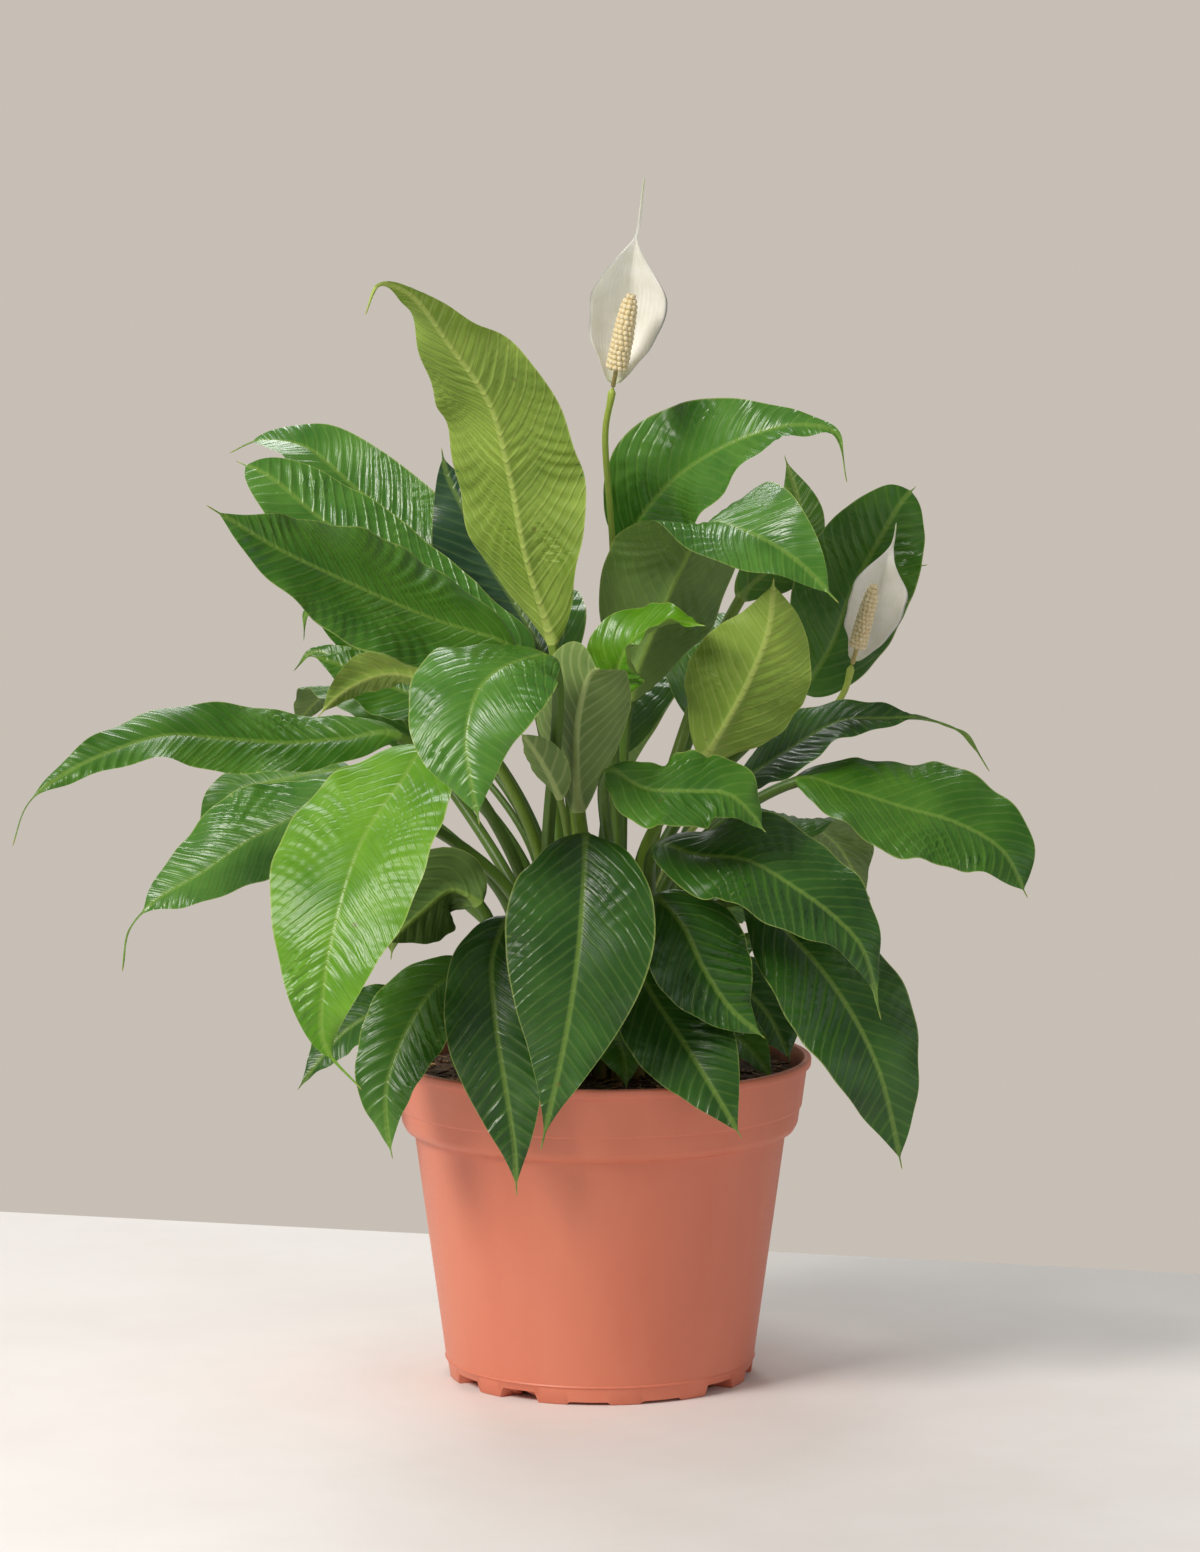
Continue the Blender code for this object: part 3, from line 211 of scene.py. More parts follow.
def smooth_curve(points: list[Vector]) -> list[Vector]:
    """Run a centripetal Catmull-Rom curve through points.

    Args:
        points: At least two points.

    Returns:
        CURVE_STEPS points for each stretch, and the last point.
    """
    ends = [2 * points[0] - points[1], *points, 2 * points[-1] - points[-2]]
    fine = []
    for index in range(len(points) - 1):
        p0, p1, p2, p3 = ends[index : index + 4]
        t1 = (p1 - p0).length ** 0.5
        t2 = t1 + (p2 - p1).length ** 0.5
        t3 = t2 + (p3 - p2).length ** 0.5
        for step in range(CURVE_STEPS):
            t = t1 + (t2 - t1) * step / CURVE_STEPS
            a1 = p0.lerp(p1, t / t1)
            a2 = p1.lerp(p2, (t - t1) / (t2 - t1))
            a3 = p2.lerp(p3, (t - t2) / (t3 - t2))
            b1 = a1.lerp(a2, t / t2)
            b2 = a2.lerp(a3, (t - t1) / (t3 - t1))
            fine.append(b1.lerp(b2, (t - t1) / (t2 - t1)))
    fine.append(points[-1].copy())
    return fine


def line_length(points: list[Vector]) -> float:
    """The length of a line of points."""
    return sum((second - first).length for first, second in zip(points, points[1:]))


def resample(points: list[Vector], count: int) -> list[Vector]:
    """Space points evenly along a line of points.

    Args:
        points: The line.
        count: How many points to return.

    Returns:
        The evenly spaced points, both ends among them.
    """
    lengths = [0.0]
    for first, second in zip(points, points[1:]):
        lengths.append(lengths[-1] + (second - first).length)
    result = []
    index = 0
    for step in range(count):
        target = lengths[-1] * step / (count - 1)
        while index < len(points) - 2 and lengths[index + 1] < target:
            index += 1
        part = (target - lengths[index]) / (lengths[index + 1] - lengths[index])
        result.append(points[index].lerp(points[index + 1], part))
    return result


def tangents_of(points: list[Vector]) -> list[Vector]:
    """Find the direction of a line at each of its points.

    Args:
        points: The line.

    Returns:
        A unit vector for each point.
    """
    last = len(points) - 1
    steps = [points[min(i + 1, last)] - points[max(i - 1, 0)] for i in range(len(points))]
    return [step.normalized() for step in steps]


def warp_grid(
    bm: bmesh.types.BMesh,
    rows: int,
    columns: int,
    place: Callable[[int, float], Vector],
    material: int,
) -> list[bmesh.types.BMVert]:
    """Make a grid and bend it into a surface.

    Args:
        bm: The mesh that the grid joins.
        rows: Segments along the surface.
        columns: Segments across it.
        place: Gives a vertex's place in millimetres from its row and its share across, -1 to 1.
        material: The faces' material number.

    Returns:
        The grid's vertices.
    """
    grid = bmesh.ops.create_grid(bm, x_segments=rows, y_segments=columns, size=1.0)["verts"]
    for vert in grid:
        row = round((vert.co.x + 1.0) / 2 * rows)
        across = vert.co.y
        vert.co = place(row, across) * MM
    for face in {face for vert in grid for face in vert.link_faces}:
        face.material_index = material
    return grid


def make_tube(
    bm: bmesh.types.BMesh,
    centres: list[Vector],
    sides: list[Vector],
    normals: list[Vector],
    radius: Callable[[int, float], float],
    columns: int,
    material: int,
) -> None:
    """Bend a grid into a tube along a line, closed at both ends.

    Args:
        bm: The mesh that the tube joins.
        centres: The tube's line, in millimetres.
        sides: The direction of angle 0 at each point.
        normals: The direction of a quarter turn at each point.
        radius: Gives the radius from the row and the angle.
        columns: Faces round the tube.
        material: The faces' material number.
    """
    rows = len(centres) - 1

    def place(row: int, across: float) -> Vector:
        """Find a point of the tube's surface.

        Args:
            row: The row along the tube.
            across: The share round it, from -1 to 1.

        Returns:
            The point, in millimetres.
        """
        if row in (0, rows):
            return centres[row]
        angle = math.pi * across
        outward = sides[row] * math.cos(angle) + normals[row] * math.sin(angle)
        return centres[row] + outward * radius(row, angle)

    grid = warp_grid(bm, rows, columns, place, material)
    bmesh.ops.remove_doubles(bm, verts=grid, dist=WELD)


@dataclass(frozen=True)
class LeafFinish:
    """Living leaf: a waxy upper face with sunken side veins, over a paler and duller underside."""

    name: str
    dark: str
    light: str
    under_dark: str
    under_light: str
    roughness: float = 0.36
    vein_depth: float = 0.55  # millimetres between a vein's groove and the swelling beside it
    vein_colour: str = "#8FAE4C"
    vein_show: float = 0.09

    def face(self, under: bool) -> bpy.types.Material:
        """Dress one face of the blade.

        Args:
            under: True for the underside, where the veins stand up and the wax is thinner.

        Returns:
            The material, which reads the blade's two UV maps.
        """
        side = "underside" if under else "upper"
        material, tree = new_material(f"{self.name}_leaf_{side}")
        blade = add_node(tree, "ShaderNodeUVMap", {"uv_map": "blade"})
        outline = add_node(tree, "ShaderNodeUVMap", {"uv_map": "outline"})
        place = add_node(tree, "ShaderNodeTexCoord")
        spot = add_node(tree, "ShaderNodeSeparateXYZ", {}, {0: blade.outputs[0]})
        out = add_node(tree, "ShaderNodeMath", {"operation": "ABSOLUTE"}, {0: spot.outputs["X"]})
        # Side veins leave the midrib and sweep towards the tip, so each follows one value of root
        sweep = add_node(
            tree,
            "ShaderNodeMath",
            {"operation": "MULTIPLY_ADD"},
            {0: out.outputs[0], 1: -VEIN_SWEEP * UV_UNIT, 2: -VEIN_RISE},
        )
        wander = add_node(
            tree,
            "ShaderNodeTexNoise",
            {},
            {"Vector": place.outputs["Object"], "Scale": 60.0, "Detail": 2.0},
        )
        wander_shift = add_node(
            tree,
            "ShaderNodeMath",
            {"operation": "MULTIPLY_ADD"},
            {0: wander.outputs[0], 1: 0.035, 2: spot.outputs["Y"]},
        )
        root = add_node(
            tree,
            "ShaderNodeMath",
            {"operation": "MULTIPLY_ADD"},
            {0: out.outputs[0], 1: sweep.outputs[0], 2: wander_shift.outputs[0]},
        )
        turn = 2 * math.pi * UV_UNIT / VEIN_SPACING
        main = add_node(
            tree, "ShaderNodeMath", {"operation": "MULTIPLY"}, {0: root.outputs[0], 1: turn}
        )
        main_wave = add_node(
            tree, "ShaderNodeMath", {"operation": "SINE"}, {0: main.outputs[0]}
        )
        # Fine parallel veins, five between each two main ones
        fine = add_node(
            tree, "ShaderNodeMath", {"operation": "MULTIPLY"}, {0: root.outputs[0], 1: turn * 5}
        )
        fine_wave = add_node(
            tree, "ShaderNodeMath", {"operation": "SINE"}, {0: fine.outputs[0]}
        )
        groove = add_node(
            tree,
            "ShaderNodeMapRange",
            {"interpolation_type": "SMOOTHSTEP"},
            {"Value": main_wave.outputs[0], "From Min": 0.45, "From Max": 1.0},
        )
        sunk = add_node(
            tree, "ShaderNodeMath", {"operation": "MULTIPLY"}, {0: groove.outputs[0], 1: -0.55}
        )
        relief = add_node(
            tree,
            "ShaderNodeMath",
            {"operation": "MULTIPLY_ADD"},
            {0: fine_wave.outputs[0], 1: -0.05, 2: sunk.outputs[0]},
        )
        # Skin texture about 1 mm across, drawn coarser than real cells, which breaks up the gloss
        skin = add_node(
            tree,
            "ShaderNodeTexNoise",
            {},
            {"Vector": place.outputs["Object"], "Scale": 900.0, "Detail": 2.0},
        )
        height = add_node(
            tree,
            "ShaderNodeMath",
            {"operation": "MULTIPLY_ADD"},
            {0: skin.outputs[0], 1: 0.10, 2: relief.outputs[0]},
        )
        bump = add_node(
            tree,
            "ShaderNodeBump",
            {"invert": under},
            {"Height": height.outputs[0], "Strength": 0.8, "Distance": self.vein_depth * MM},
        )
        # Colour drifts over 20 to 40 mm, as light and age reach the blade unevenly
        drift = add_node(
            tree,
            "ShaderNodeTexNoise",
            {},
            {"Vector": place.outputs["Object"], "Scale": 32.0, "Detail": 3.0, "Roughness": 0.6},
        )
        drift_share = add_node(
            tree,
            "ShaderNodeMapRange",
            {},
            {"Value": drift.outputs[0], "From Min": 0.34, "From Max": 0.66},
        )
        colours = (self.under_dark, self.under_light) if under else (self.dark, self.light)
        body = add_node(
            tree,
            "ShaderNodeMix",
            {"data_type": "RGBA"},
            {0: drift_share.outputs[0], 6: linear(colours[0]), 7: linear(colours[1])},
        )
        vein_show = add_node(
            tree,
            "ShaderNodeMath",
            {"operation": "MULTIPLY"},
            {0: groove.outputs[0], 1: self.vein_show * (1.6 if under else 1.0)},
        )
        veined = add_node(
            tree,
            "ShaderNodeMix",
            {"data_type": "RGBA"},
            {0: vein_show.outputs[0], 6: body.outputs[2], 7: linear(self.vein_colour)},
        )
        # The midrib, 2 mm wide, is paler than the blade
        midrib = add_node(
            tree,
            "ShaderNodeMapRange",
            {"interpolation_type": "SMOOTHSTEP"},
            {
                "Value": out.outputs[0],
                "From Min": 0.4 / UV_UNIT,
                "From Max": 1.5 / UV_UNIT,
                "To Min": 0.7 if under else 0.34,
                "To Max": 0.0,
            },
        )
        ribbed = add_node(
            tree,
            "ShaderNodeMix",
            {"data_type": "RGBA"},
            {0: midrib.outputs[0], 6: veined.outputs[2], 7: linear(self.vein_colour)},
        )
        shares = add_node(tree, "ShaderNodeSeparateXYZ", {}, {0: outline.outputs[0]})
        margin = add_node(
            tree, "ShaderNodeMath", {"operation": "ABSOLUTE"}, {0: shares.outputs["X"]}
        )
        edge = add_node(
            tree,
            "ShaderNodeMapRange",
            {"interpolation_type": "SMOOTHSTEP"},
            {
                "Value": margin.outputs[0],
                "From Min": 0.965,
                "From Max": 1.0,
                "To Min": 0.0,
                "To Max": 0.45,
            },
        )
        edged = add_node(
            tree,
            "ShaderNodeMix",
            {"data_type": "RGBA"},
            {0: edge.outputs[0], 6: ribbed.outputs[2], 7: linear("#B4C46A")},
        )
        # A few small dry specks, as an older leaf has
        specks = add_node(
            tree,
            "ShaderNodeTexVoronoi",
            {},
            {"Vector": place.outputs["Object"], "Scale": 42.0, "Randomness": 1.0},
        )
        speck = add_node(
            tree,
            "ShaderNodeMapRange",
            {"interpolation_type": "SMOOTHSTEP"},
            {
                "Value": specks.outputs["Distance"],
                "From Min": 0.03,
                "From Max": 0.055,
                "To Min": 0.5,
                "To Max": 0.0,
            },
        )
        specked = add_node(
            tree,
            "ShaderNodeMix",
            {"data_type": "RGBA"},
            {0: speck.outputs[0], 6: edged.outputs[2], 7: linear("#5A5426")},
        )
        tip = add_node(
            tree,
            "ShaderNodeMapRange",
            {"interpolation_type": "SMOOTHSTEP"},
            {"Value": shares.outputs["Y"], "From Min": 0.965, "From Max": 1.0, "To Max": 0.7},
        )
        tipped = add_node(
            tree,
            "ShaderNodeMix",
            {"data_type": "RGBA"},
            {0: tip.outputs[0], 6: specked.outputs[2], 7: linear("#A8A654")},
        )
        base_roughness = self.roughness + (0.16 if under else 0.0)
        rough = add_node(
            tree,
            "ShaderNodeMapRange",
            {},
            {
                "Value": drift.outputs[0],
                "From Min": 0.3,
                "From Max": 0.7,
                "To Min": base_roughness - 0.05,
                "To Max": base_roughness + 0.1,
            },
        )
        finish_surface(
            tree,
            {
                "Base Color": tipped.outputs[2],
                "Roughness": rough.outputs[0],
                "IOR": 1.45,
                "Normal": bump.outputs[0],
            },
        )
        return material


@dataclass(frozen=True)
class StalkFinish:
    """Smooth green stalk skin, paler at the foot, with fine lengthways fibres."""

    name: str
    low: str
    high: str
    fibre: str
    low_height: float = 118.0
    high_height: float = 190.0
    roughness: float = 0.42

    def skin(self) -> bpy.types.Material:
        """Dress a stalk.

        Returns:
            The material, which reads Object coordinates only.
        """
        material, tree = new_material(f"{self.name}_skin")
        place = add_node(tree, "ShaderNodeTexCoord")
        spot = add_node(tree, "ShaderNodeSeparateXYZ", {}, {0: place.outputs["Object"]})
        rise = add_node(
            tree,
            "ShaderNodeMapRange",
            {"interpolation_type": "SMOOTHSTEP"},
            {
                "Value": spot.outputs["Z"],
                "From Min": self.low_height * MM,
                "From Max": self.high_height * MM,
            },
        )
        body = add_node(
            tree,
            "ShaderNodeMix",
            {"data_type": "RGBA"},
            {0: rise.outputs[0], 6: linear(self.low), 7: linear(self.high)},
        )
        # Stretching the noise along the height draws fibres about 0.7 mm apart
        stretch = add_node(
            tree,
            "ShaderNodeMapping",
            {},
            {"Vector": place.outputs["Object"], "Scale": (1.0, 1.0, 0.05)},
        )
        fibres = add_node(
            tree,
            "ShaderNodeTexNoise",
            {},
            {"Vector": stretch.outputs[0], "Scale": 1400.0, "Detail": 3.0},
        )
        fibre_share = add_node(
            tree,
            "ShaderNodeMapRange",
            {},
            {"Value": fibres.outputs[0], "From Min": 0.5, "From Max": 0.75, "To Max": 0.5},
        )
        lined = add_node(
            tree,
            "ShaderNodeMix",
            {"data_type": "RGBA"},
            {0: fibre_share.outputs[0], 6: body.outputs[2], 7: linear(self.fibre)},
        )
        bump = add_node(
            tree,
            "ShaderNodeBump",
            {},
            {"Height": fibres.outputs[0], "Strength": 0.35, "Distance": 0.15 * MM},
        )
        finish_surface(
            tree,
            {
                "Base Color": lined.outputs[2],
                "Roughness": self.roughness,
                "IOR": 1.45,
                "Normal": bump.outputs[0],
            },
        )
        return material


@dataclass(frozen=True)
class SpatheFinish:
    """A peace lily's white bract: thin, satin and a little see-through, with green at foot and tip."""

    white: str = "#F4F2E8"
    shade: str = "#E3E2D0"
    green: str = "#B9C98A"

    def tissue(self) -> bpy.types.Material:
        """Dress a spathe.

        Returns:
            The material, which reads the spathe's two UV maps.
        """
        material, tree = new_material("white_spathe_tissue")
        blade = add_node(tree, "ShaderNodeUVMap", {"uv_map": "blade"})
        outline = add_node(tree, "ShaderNodeUVMap", {"uv_map": "outline"})
        spot = add_node(tree, "ShaderNodeSeparateXYZ", {}, {0: outline.outputs[0]})
        across = add_node(
            tree, "ShaderNodeMath", {"operation": "MULTIPLY"}, {0: spot.outputs["X"], 1: 58.0}
        )
        # Lengthways veins follow the outline, about 2 mm apart at the widest
        veins = add_node(tree, "ShaderNodeMath", {"operation": "SINE"}, {0: across.outputs[0]})
        cloud = add_node(
            tree,
            "ShaderNodeTexNoise",
            {},
            {"Vector": blade.outputs[0], "Scale": 9.0, "Detail": 4.0},
        )
        cloud_share = add_node(
            tree,
            "ShaderNodeMapRange",
            {},
            {"Value": cloud.outputs[0], "From Min": 0.35, "From Max": 0.7},
        )
        body = add_node(
            tree,
            "ShaderNodeMix",
            {"data_type": "RGBA"},
            {0: cloud_share.outputs[0], 6: linear(self.white), 7: linear(self.shade)},
        )
        foot = add_node(
            tree,
            "ShaderNodeMapRange",
            {"interpolation_type": "SMOOTHSTEP"},
            {
                "Value": spot.outputs["Y"],
                "From Min": 0.0,
                "From Max": 0.08,
                "To Min": 0.5,
                "To Max": 0.0,
            },
        )
        tip = add_node(
            tree,
            "ShaderNodeMapRange",
            {"interpolation_type": "SMOOTHSTEP"},
            {"Value": spot.outputs["Y"], "From Min": 0.8, "From Max": 1.0, "To Max": 0.65},
        )
        ends = add_node(
            tree, "ShaderNodeMath", {"operation": "ADD"}, {0: foot.outputs[0], 1: tip.outputs[0]}
        )
        greened = add_node(
            tree,
            "ShaderNodeMix",
            {"data_type": "RGBA"},
            {0: ends.outputs[0], 6: body.outputs[2], 7: linear(self.green)},
        )
        bump = add_node(
            tree,
            "ShaderNodeBump",
            {},
            {"Height": veins.outputs[0], "Strength": 0.35, "Distance": 0.12 * MM},
        )
        finish_surface(
            tree,
            {
                "Base Color": greened.outputs[2],
                "Roughness": 0.45,
                "IOR": 1.4,
                "Subsurface Weight": 0.35,
                "Subsurface Radius": (0.9, 1.0, 0.8),
                "Subsurface Scale": 0.002,
                "Normal": bump.outputs[0],
            },
        )
        return material


@dataclass(frozen=True)
class GrainFinish:
    """A rough matte natural surface of two colours: peat, bark, dry sheath or flower stud."""

    name: str
    dark: str
    light: str
    grain: float  # size of the colour patches in millimetres
    roughness: float = 0.9
    relief: float = 0.4  # millimetres

    def surface(self) -> bpy.types.Material:
        """Dress the piece.

        Returns:
            The material, which reads Object coordinates only.
        """
        material, tree = new_material(self.name)
        place = add_node(tree, "ShaderNodeTexCoord")
        patches = add_node(
            tree,
            "ShaderNodeTexNoise",
            {},
            {
                "Vector": place.outputs["Object"],
                "Scale": 1000.0 / self.grain,
                "Detail": 5.0,
                "Roughness": 0.65,
            },
        )
        share = add_node(
            tree,
            "ShaderNodeMapRange",
            {},
            {"Value": patches.outputs[0], "From Min": 0.38, "From Max": 0.66},
        )
        body = add_node(
            tree,
            "ShaderNodeMix",
            {"data_type": "RGBA"},
            {0: share.outputs[0], 6: linear(self.dark), 7: linear(self.light)},
        )
        bump = add_node(
            tree,
            "ShaderNodeBump",
            {},
            {"Height": patches.outputs[0], "Strength": 0.9, "Distance": self.relief * MM},
        )
        finish_surface(
            tree,
            {
                "Base Color": body.outputs[2],
                "Roughness": self.roughness,
                "Normal": bump.outputs[0],
            },
        )
        return material


@dataclass(frozen=True)
class PotFinish:
    """Injection-moulded polypropylene in salmon terracotta, with a satin skin and soil inside."""

    body: str = "#DE8468"
    drift: str = "#D4765B"
    soil: str = "#3B2418"
    scuff: str = "#E9A78F"

    def plastic(self, stained_inside: bool) -> bpy.types.Material:
        """Dress the pot.

        Args:
            stained_inside: True for the inner wall above the mix.

        Returns:
            The material, which reads Object coordinates only.
        """
        side = "stained" if stained_inside else "clean"
        material, tree = new_material(f"moulded_polypropylene_{side}")
        place = add_node(tree, "ShaderNodeTexCoord")
        spot = add_node(tree, "ShaderNodeSeparateXYZ", {}, {0: place.outputs["Object"]})
        # Pigment drifts a little down the wall, where the melt flowed
        flow = add_node(
            tree,
            "ShaderNodeMapping",
            {},
            {"Vector": place.outputs["Object"], "Scale": (1.0, 1.0, 0.35)},
        )
        clouds = add_node(
            tree,
            "ShaderNodeTexNoise",
            {},
            {"Vector": flow.outputs[0], "Scale": 22.0, "Detail": 4.0},
        )
        cloud_share = add_node(
            tree,
            "ShaderNodeMapRange",
            {},
            {"Value": clouds.outputs[0], "From Min": 0.35, "From Max": 0.7},
        )
        body = add_node(
            tree,
            "ShaderNodeMix",
            {"data_type": "RGBA"},
            {0: cloud_share.outputs[0], 6: linear(self.body), 7: linear(self.drift)},
        )
        # Rub marks, 5 to 15 mm long, round the wall from stacking
        round_map = add_node(
            tree,
            "ShaderNodeMapping",
            {},
            {"Vector": place.outputs["Object"], "Scale": (1.0, 1.0, 12.0)},
        )
        rubs = add_node(
            tree,
            "ShaderNodeTexNoise",
            {},
            {"Vector": round_map.outputs[0], "Scale": 120.0, "Detail": 5.0, "Roughness": 0.7},
        )
        rub_share = add_node(
            tree,
            "ShaderNodeMapRange",
            {},
            {"Value": rubs.outputs[0], "From Min": 0.66, "From Max": 0.82, "To Max": 0.35},
        )
        rubbed = add_node(
            tree,
            "ShaderNodeMix",
            {"data_type": "RGBA"},
            {0: rub_share.outputs[0], 6: body.outputs[2], 7: linear(self.scuff)},
        )
        # Above the mix the inner wall is stained by wet peat, most of all low down
        splash = add_node(
            tree,
            "ShaderNodeTexNoise",
            {},
            {"Vector": place.outputs["Object"], "Scale": 180.0, "Detail": 5.0, "Roughness": 0.7},
        )
        high = add_node(
            tree,
            "ShaderNodeMapRange",
            {"interpolation_type": "SMOOTHSTEP"},
            {
                "Value": spot.outputs["Z"],
                "From Min": 117.5 * MM,
                "From Max": 124.5 * MM,
                "To Min": 1.3,
                "To Max": 0.1,
            },
        )
        stain = add_node(
            tree,
            "ShaderNodeMath",
            {"operation": "MULTIPLY", "use_clamp": True},
            {0: splash.outputs[0], 1: high.outputs[0]},
        )
        stained = add_node(
            tree,
            "ShaderNodeMix",
            {"data_type": "RGBA"},
            {0: stain.outputs[0], 6: rubbed.outputs[2], 7: linear(self.soil)},
        )
        # Moulded grain, 0.6 mm, drawn a little coarser than the real spark-eroded texture
        grain = add_node(
            tree,
            "ShaderNodeTexNoise",
            {},
            {"Vector": place.outputs["Object"], "Scale": 1600.0, "Detail": 2.0},
        )
        bump = add_node(
            tree,
            "ShaderNodeBump",
            {},
            {"Height": grain.outputs[0], "Strength": 0.22, "Distance": 0.12 * MM},
        )
        rough = add_node(
            tree,
            "ShaderNodeMapRange",
            {},
            {
                "Value": rubs.outputs[0],
                "From Min": 0.3,
                "From Max": 0.8,
                "To Min": 0.4,
                "To Max": 0.52,
            },
        )
        finish_surface(
            tree,
            {
                "Base Color": (stained if stained_inside else rubbed).outputs[2],
                "Roughness": rough.outputs[0],
                "IOR": 1.49,
                "Subsurface Weight": 0.06,
                "Subsurface Radius": (1.0, 0.35, 0.2),
                "Subsurface Scale": 0.002,
                "Normal": bump.outputs[0],
            },
        )
        return material


LEAF_FINISHES = {
    # The darkest tone: the leaves' own dark green, darkened further as painted shade for leaves low in
    # the clump and under others
    Tone.DEEP_SHADE: LeafFinish("deep_shade", "#1D4410", "#335F1A", "#4C6B2E", "#64823F", 0.31, 0.35),
    Tone.MID: LeafFinish("mid", "#2F5F12", "#4B7B20", "#5C7C35", "#76954A", 0.33, 0.35),
    Tone.GLOSSY: LeafFinish("glossy", "#376A1E", "#55882F", "#5E7E38", "#7A994C", 0.25, 0.4),
    # The bright tone: a lighter, yellower green as painted light, for the leaves that the key light
    # falls on most
    Tone.BRIGHT: LeafFinish("bright", "#4C8312", "#6BA01E", "#6C8F35", "#86A748", 0.31, 0.35),
    # The blue-grey tone: dark green with a painted sheen, the soft blue-grey reflection on a glossy
    # upper face mixed into its colour
    Tone.BLUE_SHEEN: LeafFinish("blue_sheen", "#22422A", "#37563A", "#4A6644", "#5C7A54", 0.32, 0.35),
    # The pale tone: a paler, yellower green, partly the look of a leaf seen from below and partly
    # painted backlight on leaves lit from behind
    Tone.PALE: LeafFinish(
        "pale", "#41701C", "#5C8A2A", "#6E8C2C", "#8DA840", 0.38, 0.5, "#AEC062", 0.14
    ),
    Tone.YOUNG: LeafFinish(
        "young", "#7C9850", "#93AC5E", "#5F7A3C", "#7E9850", 0.42, 0.3, "#AFC07A", 0.18
    ),
}


